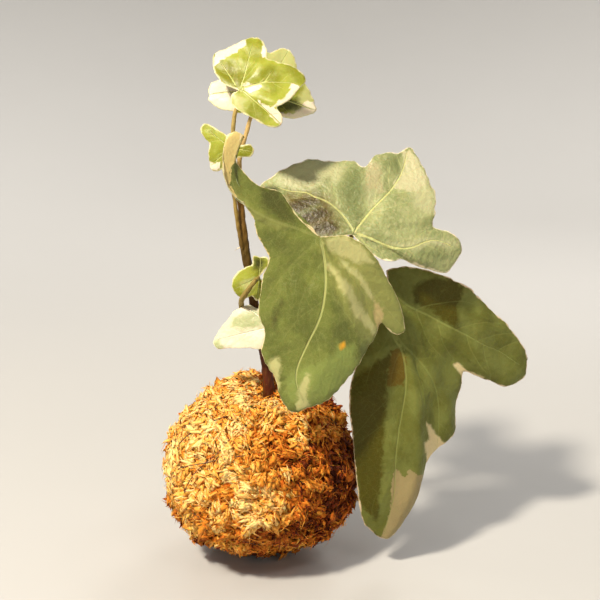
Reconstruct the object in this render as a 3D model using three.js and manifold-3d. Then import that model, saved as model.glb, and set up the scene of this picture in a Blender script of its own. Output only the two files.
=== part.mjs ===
// A kokedama: a variegated ivy whose root ball is wrapped in dry, golden moss.
// Millimetres, +Z up. The origin is the middle of the ball's flat resting spot.
// The plant's front, with the upper faces of its leaves, looks towards -Y.
import * as THREE from "three";
import { mergeVertices } from "three/addons/utils/BufferGeometryUtils.js";
import Module from "manifold-3d";

const wasm = await Module();
wasm.setup();

// Driving dimensions
const BALL_RADIUS = 38.8; // middle of the ball to the mean surface of the moss
const BALL_MIDDLE = new THREE.Vector3(0, 0, 38.5);
const TUFT_RELIEF = 1.3; // how far single tufts stand out of, or sink into, the moss
const SOIL_RADIUS = 28; // the root-bound soil inside the moss
const GAP = 0.35; // clearance between pieces that touch
const BLADE_THICKNESS = 0.8;
const BASE_CLEARANCE = 2; // radius kept clear around a blade's base, where its stalk stops
const THREAD_RADIUS = 0.35;
const STEM_FOOT = { x: 4.5, y: -6, bottom: 45, radius: 2.7 }; // the end set in the soil

const DEGREE = Math.PI / 180;
const point = (x, y, z) => new THREE.Vector3(x, y, z);

// The same numbers come out on every run.
function seededRandom(seed) {
  let state = seed;
  return () => {
    state = (state + 0x6d2b79f5) | 0;
    let t = Math.imul(state ^ (state >>> 15), 1 | state);
    t = (t + Math.imul(t ^ (t >>> 7), 61 | t)) ^ t;
    return ((t ^ (t >>> 14)) >>> 0) / 4294967296;
  };
}

// A closed geometry as a solid that can be joined and cut.
function toSolid(geometry) {
  const bare = geometry.clone();
  bare.deleteAttribute("normal");
  bare.deleteAttribute("uv");
  const merged = mergeVertices(bare, 1e-4);
  return new wasm.Manifold(
    new wasm.Mesh({
      numProp: 3,
      vertProperties: new Float32Array(merged.attributes.position.array),
      triVerts: new Uint32Array(merged.index.array),
    }),
  );
}

function toGeometry(solid) {
  const mesh = solid.getMesh();
  const geometry = new THREE.BufferGeometry();
  geometry.setAttribute("position", new THREE.BufferAttribute(mesh.vertProperties, 3));
  geometry.setIndex(new THREE.BufferAttribute(mesh.triVerts, 1));
  geometry.computeVertexNormals();
  return geometry;
}

function named(name, geometry, colour, roughness) {
  const material = new THREE.MeshStandardMaterial({ color: colour, roughness, metalness: 0 });
  const mesh = new THREE.Mesh(geometry, material);
  mesh.name = name;
  return mesh;
}

// Corners around a middle, in the plane of two directions.
function ringOfCorners(middle, first, second, radius, sides) {
  const corners = [];
  for (let side = 0; side < sides; side++) {
    const turn = (2 * Math.PI * side) / sides;
    const corner = middle.clone().addScaledVector(first, radius * Math.cos(turn));
    corners.push(corner.addScaledVector(second, radius * Math.sin(turn)));
  }
  return corners;
}

// A tube through rings of corners, with flat ends, or round to its start without them.
function tube(rings, ends) {
  const sides = rings[0].length;
  const last = (rings.length - 1) * sides;
  const index = [];
  for (let start = 0; start < last; start += sides) {
    for (let side = 0; side < sides; side++) {
      const a = start + side;
      const b = start + ((side + 1) % sides);
      index.push(a, b, b + sides, a, b + sides, a + sides);
    }
  }
  for (let side = 1; ends && side < sides - 1; side++) {
    index.push(0, side + 1, side, last, last + side, last + side + 1);
  }
  const geometry = new THREE.BufferGeometry();
  const positions = rings.flat().flatMap((corner) => corner.toArray());
  geometry.setAttribute("position", new THREE.Float32BufferAttribute(positions, 3));
  geometry.setIndex(index);
  return toSolid(geometry);
}

// The moss ball

// Large swellings of the ball: [direction, height in mm, width in degrees]
const SWELLINGS = [
  [point(-0.4, -0.1, 0.9), 1.2, 24], // shoulder left of the stem
  [point(0.81, 0.2, 0.55), 2.4, 24], // shoulder right of the stem, behind the leaves
  [point(1, 0, -0.1), 1, 22],
  [point(0.81, -0.25, -0.53), 2.6, 24], // low on the right
  [point(-0.85, -0.22, -0.48), 2.2, 24], // low on the left
  [point(0.1, 0.95, 0.1), 1, 35],
  [point(0, -0.35, -0.94), -6.2, 30], // the underside is flattened, most of all at the front
  [point(0.2, 0.6, -0.78), -2.5, 30],
  [point(0.01, -0.04, -1), 11.5, 17], // the lump that the ball rests on
];
const BALL_TURN = 0.2; // radians that the ball's triangles are turned by, about X and then Y
const SMALL_SWELLINGS = { count: 54, height: 1.3, width: 12 };
const DIMPLE = { depth: 4.6, radius: 9.5 }; // moss drawn in around the stem

function smallSwellings() {
  const random = seededRandom(11);
  const list = [];
  for (let i = 0; i < SMALL_SWELLINGS.count; i++) {
    const up = 2 * random() - 1;
    const turn = 2 * Math.PI * random();
    const flat = Math.sqrt(1 - up * up);
    const height = SMALL_SWELLINGS.height * (2 * random() - 0.8);
    const width = SMALL_SWELLINGS.width * (0.7 + 0.6 * random());
    list.push([point(flat * Math.cos(turn), flat * Math.sin(turn), up), height, width]);
  }
  return list;
}

const ALL_SWELLINGS = [...SWELLINGS, ...smallSwellings()];

// Distance from the ball's middle to its surface, without the single tufts.
function mossRadius(direction) {
  let radius = BALL_RADIUS;
  for (const [towards, height, width] of ALL_SWELLINGS) {
    const angle = direction.angleTo(towards) / DEGREE;
    radius += height * Math.exp(-((angle / width) ** 2));
  }
  if (direction.z > 0) {
    const fromStem = Math.hypot(
      direction.x * BALL_RADIUS - STEM_FOOT.x,
      direction.y * BALL_RADIUS - STEM_FOOT.y,
    );
    radius -= DIMPLE.depth * Math.exp(-((fromStem / DIMPLE.radius) ** 2));
  }
  return radius;
}

// A sphere of near-equal triangles whose every corner is set by radiusAt(direction).
function ballGeometry(detail, radiusAt) {
  const sphere = new THREE.IcosahedronGeometry(1, detail);
  sphere.deleteAttribute("normal");
  sphere.deleteAttribute("uv");
  sphere.rotateX(BALL_TURN).rotateY(BALL_TURN);
  const geometry = mergeVertices(sphere, 1e-4);
  const corners = geometry.attributes.position;
  const corner = new THREE.Vector3();
  for (let i = 0; i < corners.count; i++) {
    corner.fromBufferAttribute(corners, i).normalize();
    corner.multiplyScalar(radiusAt(corner.clone())).add(BALL_MIDDLE);
    corner.z = Math.max(corner.z, 0);
    corners.setXYZ(i, corner.x, corner.y, corner.z);
  }
  return geometry;
}

// The hole that the stem's foot stands in, through the moss and into the soil.
function stemHole() {
  const height = 60;
  const hole = new THREE.CylinderGeometry(
    STEM_FOOT.radius + GAP, STEM_FOOT.radius + GAP, height, 14,
  );
  hole.rotateX(Math.PI / 2);
  hole.translate(STEM_FOOT.x, STEM_FOOT.y, STEM_FOOT.bottom - GAP + height / 2);
  return toSolid(hole);
}

// Binding thread: closed loops drawn tight around the ball, each [tilt, heading] in degrees
const THREAD_LOOPS = [[32, 197], [60, 224], [60, 192], [40, 40]];
const THREAD_STEPS = 36;
const THREAD_SIDES = 4;
const THREAD_PRESSES = 4.2; // the moss is pressed flat this far to each side of a thread

function turned(direction, tilt, heading) {
  return direction
    .applyAxisAngle(point(1, 0, 0), tilt * DEGREE)
    .applyAxisAngle(point(0, 0, 1), heading * DEGREE);
}

function isNearThread(direction) {
  return THREAD_LOOPS.some(([tilt, heading]) => {
    const axis = turned(point(0, 0, 1), tilt, heading);
    return Math.abs(direction.dot(axis)) * BALL_RADIUS < THREAD_PRESSES;
  });
}

function threadLoop([tilt, heading]) {
  const axis = turned(point(0, 0, 1), tilt, heading);
  const start = turned(point(1, 0, 0), tilt, heading);
  const rings = [];
  for (let i = 0; i < THREAD_STEPS; i++) {
    const outwards = start.clone().applyAxisAngle(axis, (2 * Math.PI * i) / THREAD_STEPS);
    const radius = mossRadius(outwards) + GAP + THREAD_RADIUS;
    const middle = outwards.clone().multiplyScalar(radius).add(BALL_MIDDLE);
    rings.push(ringOfCorners(middle, axis, outwards, THREAD_RADIUS, THREAD_SIDES));
  }
  rings.push(rings[0]);
  return tube(rings, false);
}

function bindingThread() {
  const loops = THREAD_LOOPS.map(threadLoop);
  const thread = loops.reduce((sum, loop) => sum.add(loop));
  return named("binding_thread", toGeometry(thread), "#2a1c14", 0.8);
}

function mossWrap() {
  const random = seededRandom(5);
  const tuft = (direction) => {
    const share = random();
    return TUFT_RELIEF * (isNearThread(direction) ? -0.5 * share : 2 * share - 1);
  };
  const outside = ballGeometry(11, (direction) => mossRadius(direction) + tuft(direction));
  const inside = ballGeometry(5, () => SOIL_RADIUS + GAP);
  const wrap = toSolid(outside).subtract(toSolid(inside)).subtract(stemHole());
  return named("moss_wrap", toGeometry(wrap), "#c88a3c", 0.95);
}

function soilBall() {
  const ball = toSolid(ballGeometry(5, () => SOIL_RADIUS));
  return named("soil_ball", toGeometry(ball.subtract(stemHole())), "#2b1a10", 1);
}

// The leaves

// Every blade is a fan of ribs that leave its base, where the stalk joins.
//   base    where the stalk joins, and the middle of the fan
//   along   the direction of the rib at 0 degrees
//   face    the direction that the upper side looks in
//   margin  [rib, reach in mm] around the blade, a rib being the angle at which it leaves the
//           base: lobe tips are the long reaches, and the bays between the lobes the short
//           ones. A rib that swings round is [rib, angle at the margin, reach in mm].
//   bends   [rib, lift, curl, late]: how ribs near that one leave the plane of the blade at
//           the base, curl over their length, and how late they swing round, 2 if left out
//   samples, rings   steps around the margin, and from the base out to it
const LEAVES = [
  {
    name: "blade_front",
    colour: "#7d8f4a",
    samples: 84,
    rings: 5,
    base: point(23.7, -32, 139.9),
    along: point(-0.08, 0, -1),
    face: point(0.05, -1, 0.12),
    bends: [
      [-138, 2, 0], [-122, 4, 8, 6], [-108, 5, 12, 6], [-94, 4, 4, 2], [-60, 1, 0], [-22, 4, -10],
      [15, 8, -22], [28, 4, -16], [48, -9, -16], [95, -8, -8],
    ],
    margin: [
      [-138, -127, 8], [-132, -135, 18], [-129, -133.5, 22], [-126, -127.5, 26.5],
      [-124, -125.5, 29.5], [-120.5, -126.5, 36.5], [-118, -127.5, 40], [-116.5, -130, 42.5],
      [-115, -133.5, 44], [-114, -136.5, 44.5], [-113.5, -138.5, 44.5], [-113, -138, 46],
      [-112.5, -136.5, 48], [-112, -133.5, 48.5], [-111.5, -130, 47.5], [-110.5, -125.5, 45],
      [-109.5, -120.5, 41.5], [-108, -115.5, 37.5], [-106, -111.5, 33.5], [-103, -108.5, 29],
      [-99, -103.5, 25.5], [-90, -96, 23.5], [-65, 19], [-47, -49, 25.5], [-28, -35, 34],
      [-16, -25, 40], [-11, -22, 47], [4, -13, 54], [15, -5, 65], [21, 7, 60.5], [26, 18, 52],
      [34, 27, 46], [39, 35, 43.5], [42, 41, 42], [44, 43, 49], [48, 51.5], [55, 42.5],
      [65, 30], [82, 18.5], [98, 10],
    ],
  },
  {
    name: "blade_upper_right",
    colour: "#8f9a62",
    samples: 62,
    rings: 5,
    base: point(36.4, -18, 138.8),
    along: point(23.9, 26, 31.2),
    face: point(0.08, -0.795, 0.6),
    bends: [
      [-100, 0, -8], [-75, 4, -36], [-58, 4, -26], [-40, 2, -6], [0, -3, 8],
      [20, 2, -4], [60, 3, -12], [90, 0, -14], [135, -5, -4],
    ],
    margin: [
      [-108, 8], [-96, 16], [-79, 22], [-76, 33], [-74, 40], [-66, 43.5], [-59, 44],
      [-53, 41], [-48, 32.5], [-39, 35], [-28, 38.5], [-16, 41], [-5, 45.5], [0, 46.5],
      [4, 41.5], [8, 40.5], [15, 36.5], [20, 31], [30, 33.5], [43, 34.5], [55, 37], [67, 38.5],
      [80, 40.5], [86, 41.5], [95, 38], [107, 26.5], [118, 16], [135, 8],
    ],
  },
  {
    name: "blade_lower_right",
    colour: "#6f8250",
    samples: 70,
    rings: 5,
    base: point(51.4, -8, 116.5),
    along: point(0, 0.05, -1),
    face: point(0.12, -0.99, -0.05),
    bends: [
      [-75, -10, -10], [-50, 0, -12], [-25, 17, -20], [-5, 28, -36], [14, 25, -36],
      [24, 21, -32], [45, 6, -18], [65, 6, -26], [120, 0, -6], [187, -4, 0],
    ],
    margin: [
      [-74, 5], [-69, 15], [-63, -65, 25], [-53, -57, 32], [-42, -47, 33.5], [-31, -37, 29.5],
      [-17, -25, 30], [-13, -22.5, 41], [-7, -18.5, 52], [-2, -14, 63], [1, -11.5, 73],
      [4, -9, 84], [6, -7.5, 92.5], [10, -4.5, 100.5], [15, 0, 104.5], [17, 4.5, 97], [19, 9, 85],
      [20, 12.5, 75], [24, 19, 70.5], [29, 25.5, 67], [33, 30.5, 58], [37, 53], [42, 49.5],
      [47, 60], [49, 68.5], [54, 74], [59, 74], [64, 68], [70, 56], [77, 43.5], [88, 33.5],
      [96, 26], [114, 16.5], [150, 9.5], [187, 7],
    ],
  },
  {
    name: "blade_top_front",
    colour: "#b3c25a",
    samples: 46,
    rings: 4,
    base: point(-5.5, -14, 191.5),
    along: point(1, 0.15, 0.12),
    face: point(-0.12, -0.9, 0.42),
    bends: [
      [-120, 0, 0], [-60, 2, -16], [-35, 4, -4], [0, 4, -18], [35, 4, -6],
      [65, 0, -12], [90, -2, -8], [112, -2, -14], [140, -3, 0],
    ],
    margin: [
      [-162, 2.6], [-128, 5.4], [-104, 7.6], [-80, 10.6], [-68, 15], [-60, 18.8], [-52, 21],
      [-44, 19.4], [-39, 16.4], [-26, 19], [-12, 21.8], [-3, 24.8], [5, 24.4], [16, 21],
      [28, 17.4], [41, 16.2], [48, 19], [59, 22.4], [67, 23.4], [78, 21.6], [95, 19.6],
      [109, 20.4], [122, 15.6], [135, 9.4], [145, 4.2],
    ],
  },
  {
    name: "blade_top_back",
    colour: "#a9b860",
    samples: 44,
    rings: 4,
    base: point(0.5, -1, 190.3),
    along: point(1, 0.1, -0.25),
    face: point(0.1, -0.93, 0.3),
    bends: [
      [-40, 0, -4], [0, 2, -14], [30, 0, -4], [75, 0, -12], [130, 0, -4],
      [180, 0, -14], [260, 0, 0],
    ],
    margin: [
      [-36, 8.6], [-24, 14.8], [-10, 19.8], [0, 23.4], [16, 21], [33, 19], [47, 19], [57, 21.4],
      [66, 22.8], [74, 22.8], [79, 20.8], [86, 18.2], [96, 18.4], [108, 17.2], [132, 13.2],
      [165, 15.2], [177, 18.4], [190, 18.8], [201, 18], [213, 15], [230, 11], [260, 7.2],
    ],
  },
  {
    name: "blade_young",
    colour: "#b5c060",
    samples: 38,
    rings: 3,
    base: point(-8.7, -15, 170.8),
    along: point(-1, 0.05, -0.1),
    face: point(-0.15, -0.95, 0.15),
    bends: [
      [-75, 0, 0], [-40, 4, -10], [5, 0, -2], [50, 2, -14], [85, 0, 0],
      [165, 0, -12], [190, 0, 0],
    ],
    margin: [
      [-80, 4.2], [-62, 7.6], [-55, 10.6], [-48, 13.6], [-37, 13.8], [-28, 11.2], [-17, 8.4],
      [3, 8.8], [24, 9.6], [43, 11], [62, 8.2], [65, 4.6], [89, 5.2], [113, 4.4], [140, 6],
      [152, 8.2], [169, 8.6], [185, 7.2], [187, 3.6],
    ],
  },
  {
    name: "blade_yellow",
    colour: "#c4cc62",
    samples: 30,
    rings: 3,
    stalkInFront: true,
    base: point(1, -10, 121.3),
    along: point(-1, 0, -0.25),
    face: point(-0.1, -0.97, 0.15),
    bends: [
      [-125, 0, 12], [-85, 0, 16], [-60, 2, 0], [0, 4, -14], [45, 0, -8],
      [80, 0, -10], [120, 0, 0],
    ],
    margin: [
      [-144, 5.6], [-129, 8.4], [-108, 7.8], [-90, 8.6], [-75, 5.6], [-44, 6.8], [-24, 9],
      [-5, 10.8], [11, 11.6], [32, 11], [45, 9.6], [55, 8], [70, 9.4], [91, 8.6], [121, 5],
    ],
  },
  {
    name: "blade_cream",
    colour: "#dfe0c0",
    samples: 28,
    rings: 3,
    base: point(6.4, -13, 102),
    along: point(-1, -0.1, -0.1),
    face: point(-0.1, -0.9, 0.35),
    bends: [[-95, 0, -4], [-50, 0, -8], [0, 2, -18], [50, 0, -4], [90, 0, -4]],
    margin: [
      [-100, 6], [-73, 8], [-57, 10], [-50, 13.4], [-35, 16.2], [-14, 19.8], [-3, 23],
      [4, 24.8], [12, 23.8], [17, 19.2], [28, 13.8], [53, 9.8], [89, 7],
    ],
  },
];

// Lift, curl and lateness of a rib, eased from one listed bend to the next.
function bendAt(leaf, rib) {
  const bends = leaf.bends.map(([at, lift, curl, late = 2]) => [at, lift, curl, late]);
  const last = bends.length - 1;
  const held = Math.min(Math.max(rib, bends[0][0]), bends[last][0]);
  const next = Math.max(1, bends.findIndex((bend) => held <= bend[0]));
  const from = bends[next - 1];
  const to = bends[next];
  const share = THREE.MathUtils.smoothstep(held, from[0], to[0]);
  return [1, 2, 3].map((i) => THREE.MathUtils.lerp(from[i], to[i], share));
}

// A point on a rib that ends at this angle and reach; t runs from 0 at the base to 1 there.
function ribPoint(leaf, rib, angle, reach, t) {
  const up = leaf.face.clone().normalize();
  const along = leaf.along.clone().addScaledVector(up, -leaf.along.dot(up)).normalize();
  const across = up.clone().cross(along);
  const [liftDegrees, curlDegrees, late] = bendAt(leaf, rib);
  const lift = liftDegrees * DEGREE;
  const curl = curlDegrees * DEGREE;
  const heading = (rib + (angle - rib) * t ** late) * DEGREE;
  let outwards = reach * t * Math.cos(lift);
  let upwards = reach * t * Math.sin(lift);
  if (Math.abs(curl) > 1e-4) {
    const arc = reach / curl;
    outwards = arc * (Math.sin(lift + curl * t) - Math.sin(lift));
    upwards = arc * (Math.cos(lift) - Math.cos(lift + curl * t));
  }
  return leaf.base
    .clone()
    .addScaledVector(along, outwards * Math.cos(heading))
    .addScaledVector(across, outwards * Math.sin(heading))
    .addScaledVector(up, upwards);
}

// The blade's middle surface: the base, then rings of points out to the margin and beyond it.
function bladeSurface(leaf, beyond) {
  const margin = leaf.margin.map((row) => point(...(row.length === 2 ? [row[0], ...row] : row)));
  const outline = new THREE.CatmullRomCurve3(margin, false, "catmullrom", 0.5);
  const points = [leaf.base.clone()];
  for (let ring = 1; ring <= leaf.rings; ring++) {
    for (let i = 0; i <= leaf.samples; i++) {
      const at = outline.getPoint(i / leaf.samples);
      points.push(ribPoint(leaf, at.x, at.y, at.z + beyond, ring / leaf.rings));
    }
  }
  const row = leaf.samples + 1;
  const id = (ring, i) => (ring === 0 ? 0 : 1 + (ring - 1) * row + i);
  const faces = [];
  for (let i = 0; i < leaf.samples; i++) {
    faces.push([0, id(1, i), id(1, i + 1)]);
    for (let ring = 1; ring < leaf.rings; ring++) {
      faces.push([id(ring, i), id(ring + 1, i), id(ring + 1, i + 1)]);
      faces.push([id(ring, i), id(ring + 1, i + 1), id(ring, i + 1)]);
    }
  }
  const border = [];
  for (let ring = 0; ring < leaf.rings; ring++) border.push(id(ring, 0));
  for (let i = 0; i < leaf.samples; i++) border.push(id(leaf.rings, i));
  for (let ring = leaf.rings; ring > 0; ring--) border.push(id(ring, leaf.samples));
  return { points, faces, border };
}

// The same surface twice, half a thickness up and down, closed along its border.
function bladeGeometry(leaf, thickness, beyond = 0) {
  const { points, faces, border } = bladeSurface(leaf, beyond);
  const normals = points.map(() => new THREE.Vector3());
  for (const face of faces) {
    const [a, b, c] = face.map((i) => points[i]);
    const normal = b.clone().sub(a).cross(c.clone().sub(a));
    for (const i of face) normals[i].add(normal);
  }
  const positions = [];
  for (const side of [1, -1]) {
    points.forEach((p, i) => {
      const offset = normals[i].clone().setLength((side * thickness) / 2);
      positions.push(...p.clone().add(offset).toArray());
    });
  }
  const under = points.length;
  const index = [];
  for (const [a, b, c] of faces) index.push(a, b, c, under + a, under + c, under + b);
  border.forEach((from, i) => {
    const to = border[(i + 1) % border.length];
    index.push(from, under + from, under + to, from, under + to, to);
  });
  const geometry = new THREE.BufferGeometry();
  geometry.setAttribute("position", new THREE.Float32BufferAttribute(positions, 3));
  geometry.setIndex(index);
  return geometry;
}

// The stem

// Where a leaf's stalk stops: just clear of the blade, at its base.
function stalkEnd(name) {
  const leaf = LEAVES.find((each) => each.name === name);
  const side = leaf.stalkInFront ? 1 : -1;
  const off = side * (BLADE_THICKNESS / 2 + GAP);
  return leaf.base.clone().addScaledVector(leaf.face.clone().normalize(), off);
}

// Each limb: points along its middle, its radius at each end, and its number of steps.
const MAIN_STEM = {
  steps: 34,
  radii: [[0, 2.7], [0.17, 2.7], [0.24, 2.1], [0.5, 1.7], [0.68, 1.35], [0.8, 1], [1, 0.7]],
  points: [
    point(STEM_FOOT.x, STEM_FOOT.y, STEM_FOOT.bottom), point(STEM_FOOT.x, STEM_FOOT.y, 59),
    point(4.4, -6, 72), point(3.4, -6, 84), point(0.7, -5.5, 99), point(-1.6, -5, 111),
    point(-3.6, -4.5, 125.5), point(-5.2, -4, 139), point(-6.3, -3.5, 150),
    point(-6.8, -3, 160), point(-5.9, -3, 169.5), point(-3.9, -2.6, 175.5),
    point(-2, -1.2, 182), point(-0.6, 1.2, 187.2), stalkEnd("blade_top_back"),
  ],
};
const STALKS = [
  {
    steps: 16, radii: [[0, 1.4], [1, 0.9]],
    points: [
      point(1.2, -5.5, 96), point(8, -8, 109), point(15, -17, 122), point(21, -26, 133),
      stalkEnd("blade_front"),
    ],
  },
  {
    steps: 16, radii: [[0, 1.4], [1, 0.9]],
    points: [
      point(1.6, -5.2, 93.5), point(13, -3, 104), point(25, -5, 120), point(33.5, -12, 132.5),
      stalkEnd("blade_upper_right"),
    ],
  },
  {
    steps: 16, radii: [[0, 1.5], [1, 1]],
    points: [
      point(2.4, -5.4, 89), point(14, 3, 94), point(28, 8, 102), point(42, 5, 111),
      point(50, -2.5, 116), stalkEnd("blade_lower_right"),
    ],
  },
  {
    steps: 22, radii: [[0, 0.9], [1, 0.75]],
    points: [
      point(-4.2, -4.6, 123), point(-6.4, -5.6, 136), point(-7.9, -6.3, 147),
      point(-8.9, -7.3, 158), point(-9, -9, 166), point(-8.4, -10.5, 175.5),
      point(-7.2, -11.6, 183.5), point(-5.8, -12, 189), stalkEnd("blade_top_front"),
    ],
  },
  {
    steps: 8, radii: [[0, 0.8], [1, 0.7]],
    points: [
      point(-6.8, -3.2, 159), point(-7.6, -7.5, 163), point(-8.3, -12, 168),
      stalkEnd("blade_young"),
    ],
  },
  {
    steps: 18, radii: [[0, 1.2], [0.6, 1.1], [1, 0.75]],
    points: [
      point(0.6, -5.6, 96), point(-4, -5.6, 103), point(-6.3, -6.6, 109),
      point(-5.6, -11.5, 113), point(-3.4, -13.6, 116.5), point(-0.4, -13.6, 120.4),
      stalkEnd("blade_yellow"),
    ],
  },
  {
    steps: 6, radii: [[0, 1], [1, 0.8]],
    points: [point(1.6, -5.6, 93), point(4.6, -8.5, 98), stalkEnd("blade_cream")],
  },
];
const LIMB_SIDES = 8;

function radiusAlong(radii, t) {
  const next = Math.max(1, radii.findIndex(([at]) => t <= at + 1e-9));
  const [from, to] = [radii[next - 1], radii[next]];
  return THREE.MathUtils.mapLinear(t, from[0], to[0], from[1], to[1]);
}

// A tapered limb along a smooth path.
function limb({ points, radii, steps }) {
  const path = new THREE.CatmullRomCurve3(points);
  const frames = path.computeFrenetFrames(steps, false);
  const rings = [];
  for (let step = 0; step <= steps; step++) {
    const middle = path.getPointAt(step / steps);
    const radius = radiusAlong(radii, step / steps);
    rings.push(ringOfCorners(middle, frames.normals[step], frames.binormals[step], radius, LIMB_SIDES));
  }
  return tube(rings, true);
}

// The room that a blade needs: itself and a gap all round, with a disc at its base.
function bladeRoom(leaf) {
  const thickness = BLADE_THICKNESS + 2 * GAP;
  const disc = new THREE.CylinderGeometry(BASE_CLEARANCE, BASE_CLEARANCE, thickness, 16);
  const upright = new THREE.Quaternion();
  upright.setFromUnitVectors(point(0, 1, 0), leaf.face.clone().normalize());
  disc.applyQuaternion(upright).translate(...leaf.base.toArray());
  return toSolid(bladeGeometry(leaf, thickness, GAP)).add(toSolid(disc));
}

function ivyStem() {
  const limbs = [MAIN_STEM, ...STALKS].map(limb);
  let stem = limbs.reduce((sum, each) => sum.add(each));
  for (const leaf of LEAVES) stem = stem.subtract(bladeRoom(leaf));
  const largest = stem.decompose().sort((a, b) => b.volume() - a.volume())[0];
  return named("ivy_stem", toGeometry(largest), "#8a6a3a", 0.6);
}

function blade(leaf) {
  return named(leaf.name, bladeGeometry(leaf, BLADE_THICKNESS), leaf.colour, 0.45);
}

const kokedama = new THREE.Group();
kokedama.add(soilBall(), mossWrap(), bindingThread(), ivyStem(), ...LEAVES.map(blade));

export default kokedama;
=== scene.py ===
# %% [markdown]
# # A kokedama with a variegated ivy
# The object is a house plant without a pot. Its roots sit in a ball of soil, the soil is wrapped
# in dry sphagnum moss, and a fine dark thread holds the moss on. One ivy stem grows out of the
# top and carries three large leaves and five small ones.
#
# The solids come from the packed CAD model. This script leaves their places and sizes alone and
# gives each of them the surface that the eye sees: veins and cream patches on the leaves, bark on
# the stem, and some thousands of curled moss flakes on the ball.

# %% Load the packed model
import math

import bmesh
import bpy
import numpy as np
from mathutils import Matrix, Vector
from mathutils.bvhtree import BVHTree


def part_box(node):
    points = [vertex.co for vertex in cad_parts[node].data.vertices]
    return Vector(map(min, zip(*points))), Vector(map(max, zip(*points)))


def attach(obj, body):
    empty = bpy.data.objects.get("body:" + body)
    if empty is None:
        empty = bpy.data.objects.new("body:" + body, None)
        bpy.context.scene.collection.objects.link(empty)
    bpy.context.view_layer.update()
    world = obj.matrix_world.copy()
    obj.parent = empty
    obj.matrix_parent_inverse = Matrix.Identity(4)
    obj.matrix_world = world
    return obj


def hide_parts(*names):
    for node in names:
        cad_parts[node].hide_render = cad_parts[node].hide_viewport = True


MM = 0.001  # every length below is in millimetres until a mesh is made
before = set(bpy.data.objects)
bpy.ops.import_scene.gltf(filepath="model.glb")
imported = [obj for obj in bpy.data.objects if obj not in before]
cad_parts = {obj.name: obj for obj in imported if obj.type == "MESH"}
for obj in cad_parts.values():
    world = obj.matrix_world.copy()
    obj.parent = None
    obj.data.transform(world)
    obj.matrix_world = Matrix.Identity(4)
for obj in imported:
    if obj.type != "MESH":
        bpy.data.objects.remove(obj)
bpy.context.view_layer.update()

# %% [markdown]
# ## Camera, stage and light
# The photo looks slightly down on the plant from about its own height. A 50 mm lens on a 36 mm
# wide sensor, tipped down by 12 degrees, gives the same perspective: the leaf that hangs beside
# the ball and the two leaves at the top then keep their places in the frame.
#
# The stage is one pale sweep: a flat floor that curves up into a wall all around, so that no
# view ends at a hard edge. Three soft lamps show the form, and the warm key lamp stands high at
# the left, where the photo's own light comes from. A ring of weaker lamps is aimed outwards at
# the sweep, so that the background stays pale from every side.
#
# The usual view transform would pale strong colours, and this moss is a strong gold. So colours
# are shown by the Standard transform, just as they are set, and the lamps are kept low enough
# that nothing burns out.

# %% Camera
CAMERA_PLACE = (16.9, -328.7, 179.9)
CAMERA_TIP = 12  # degrees below level
LENS = 50
SENSOR = 36

camera_data = bpy.data.cameras.new("camera")
camera_data.lens = LENS
camera_data.sensor_width = SENSOR
camera = bpy.data.objects.new("camera", camera_data)
camera.location = [v * MM for v in CAMERA_PLACE]
camera.rotation_euler = (math.radians(90 - CAMERA_TIP), 0, 0)
bpy.context.scene.collection.objects.link(camera)
bpy.context.scene.camera = camera
bpy.context.scene.view_settings.view_transform = "Standard"
print("camera at", CAMERA_PLACE)

# %% [markdown]
# ## Writing materials in few words
# Every finish below is a tree of shader nodes: noise for what varies, a map range for every soft
# step, a mix for every change of colour. Made by hand in the editor such a tree is quick to draw
# and slow to read, so a small class gives each kind of node one short call, and a finish reads
# as a list of steps.

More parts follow.
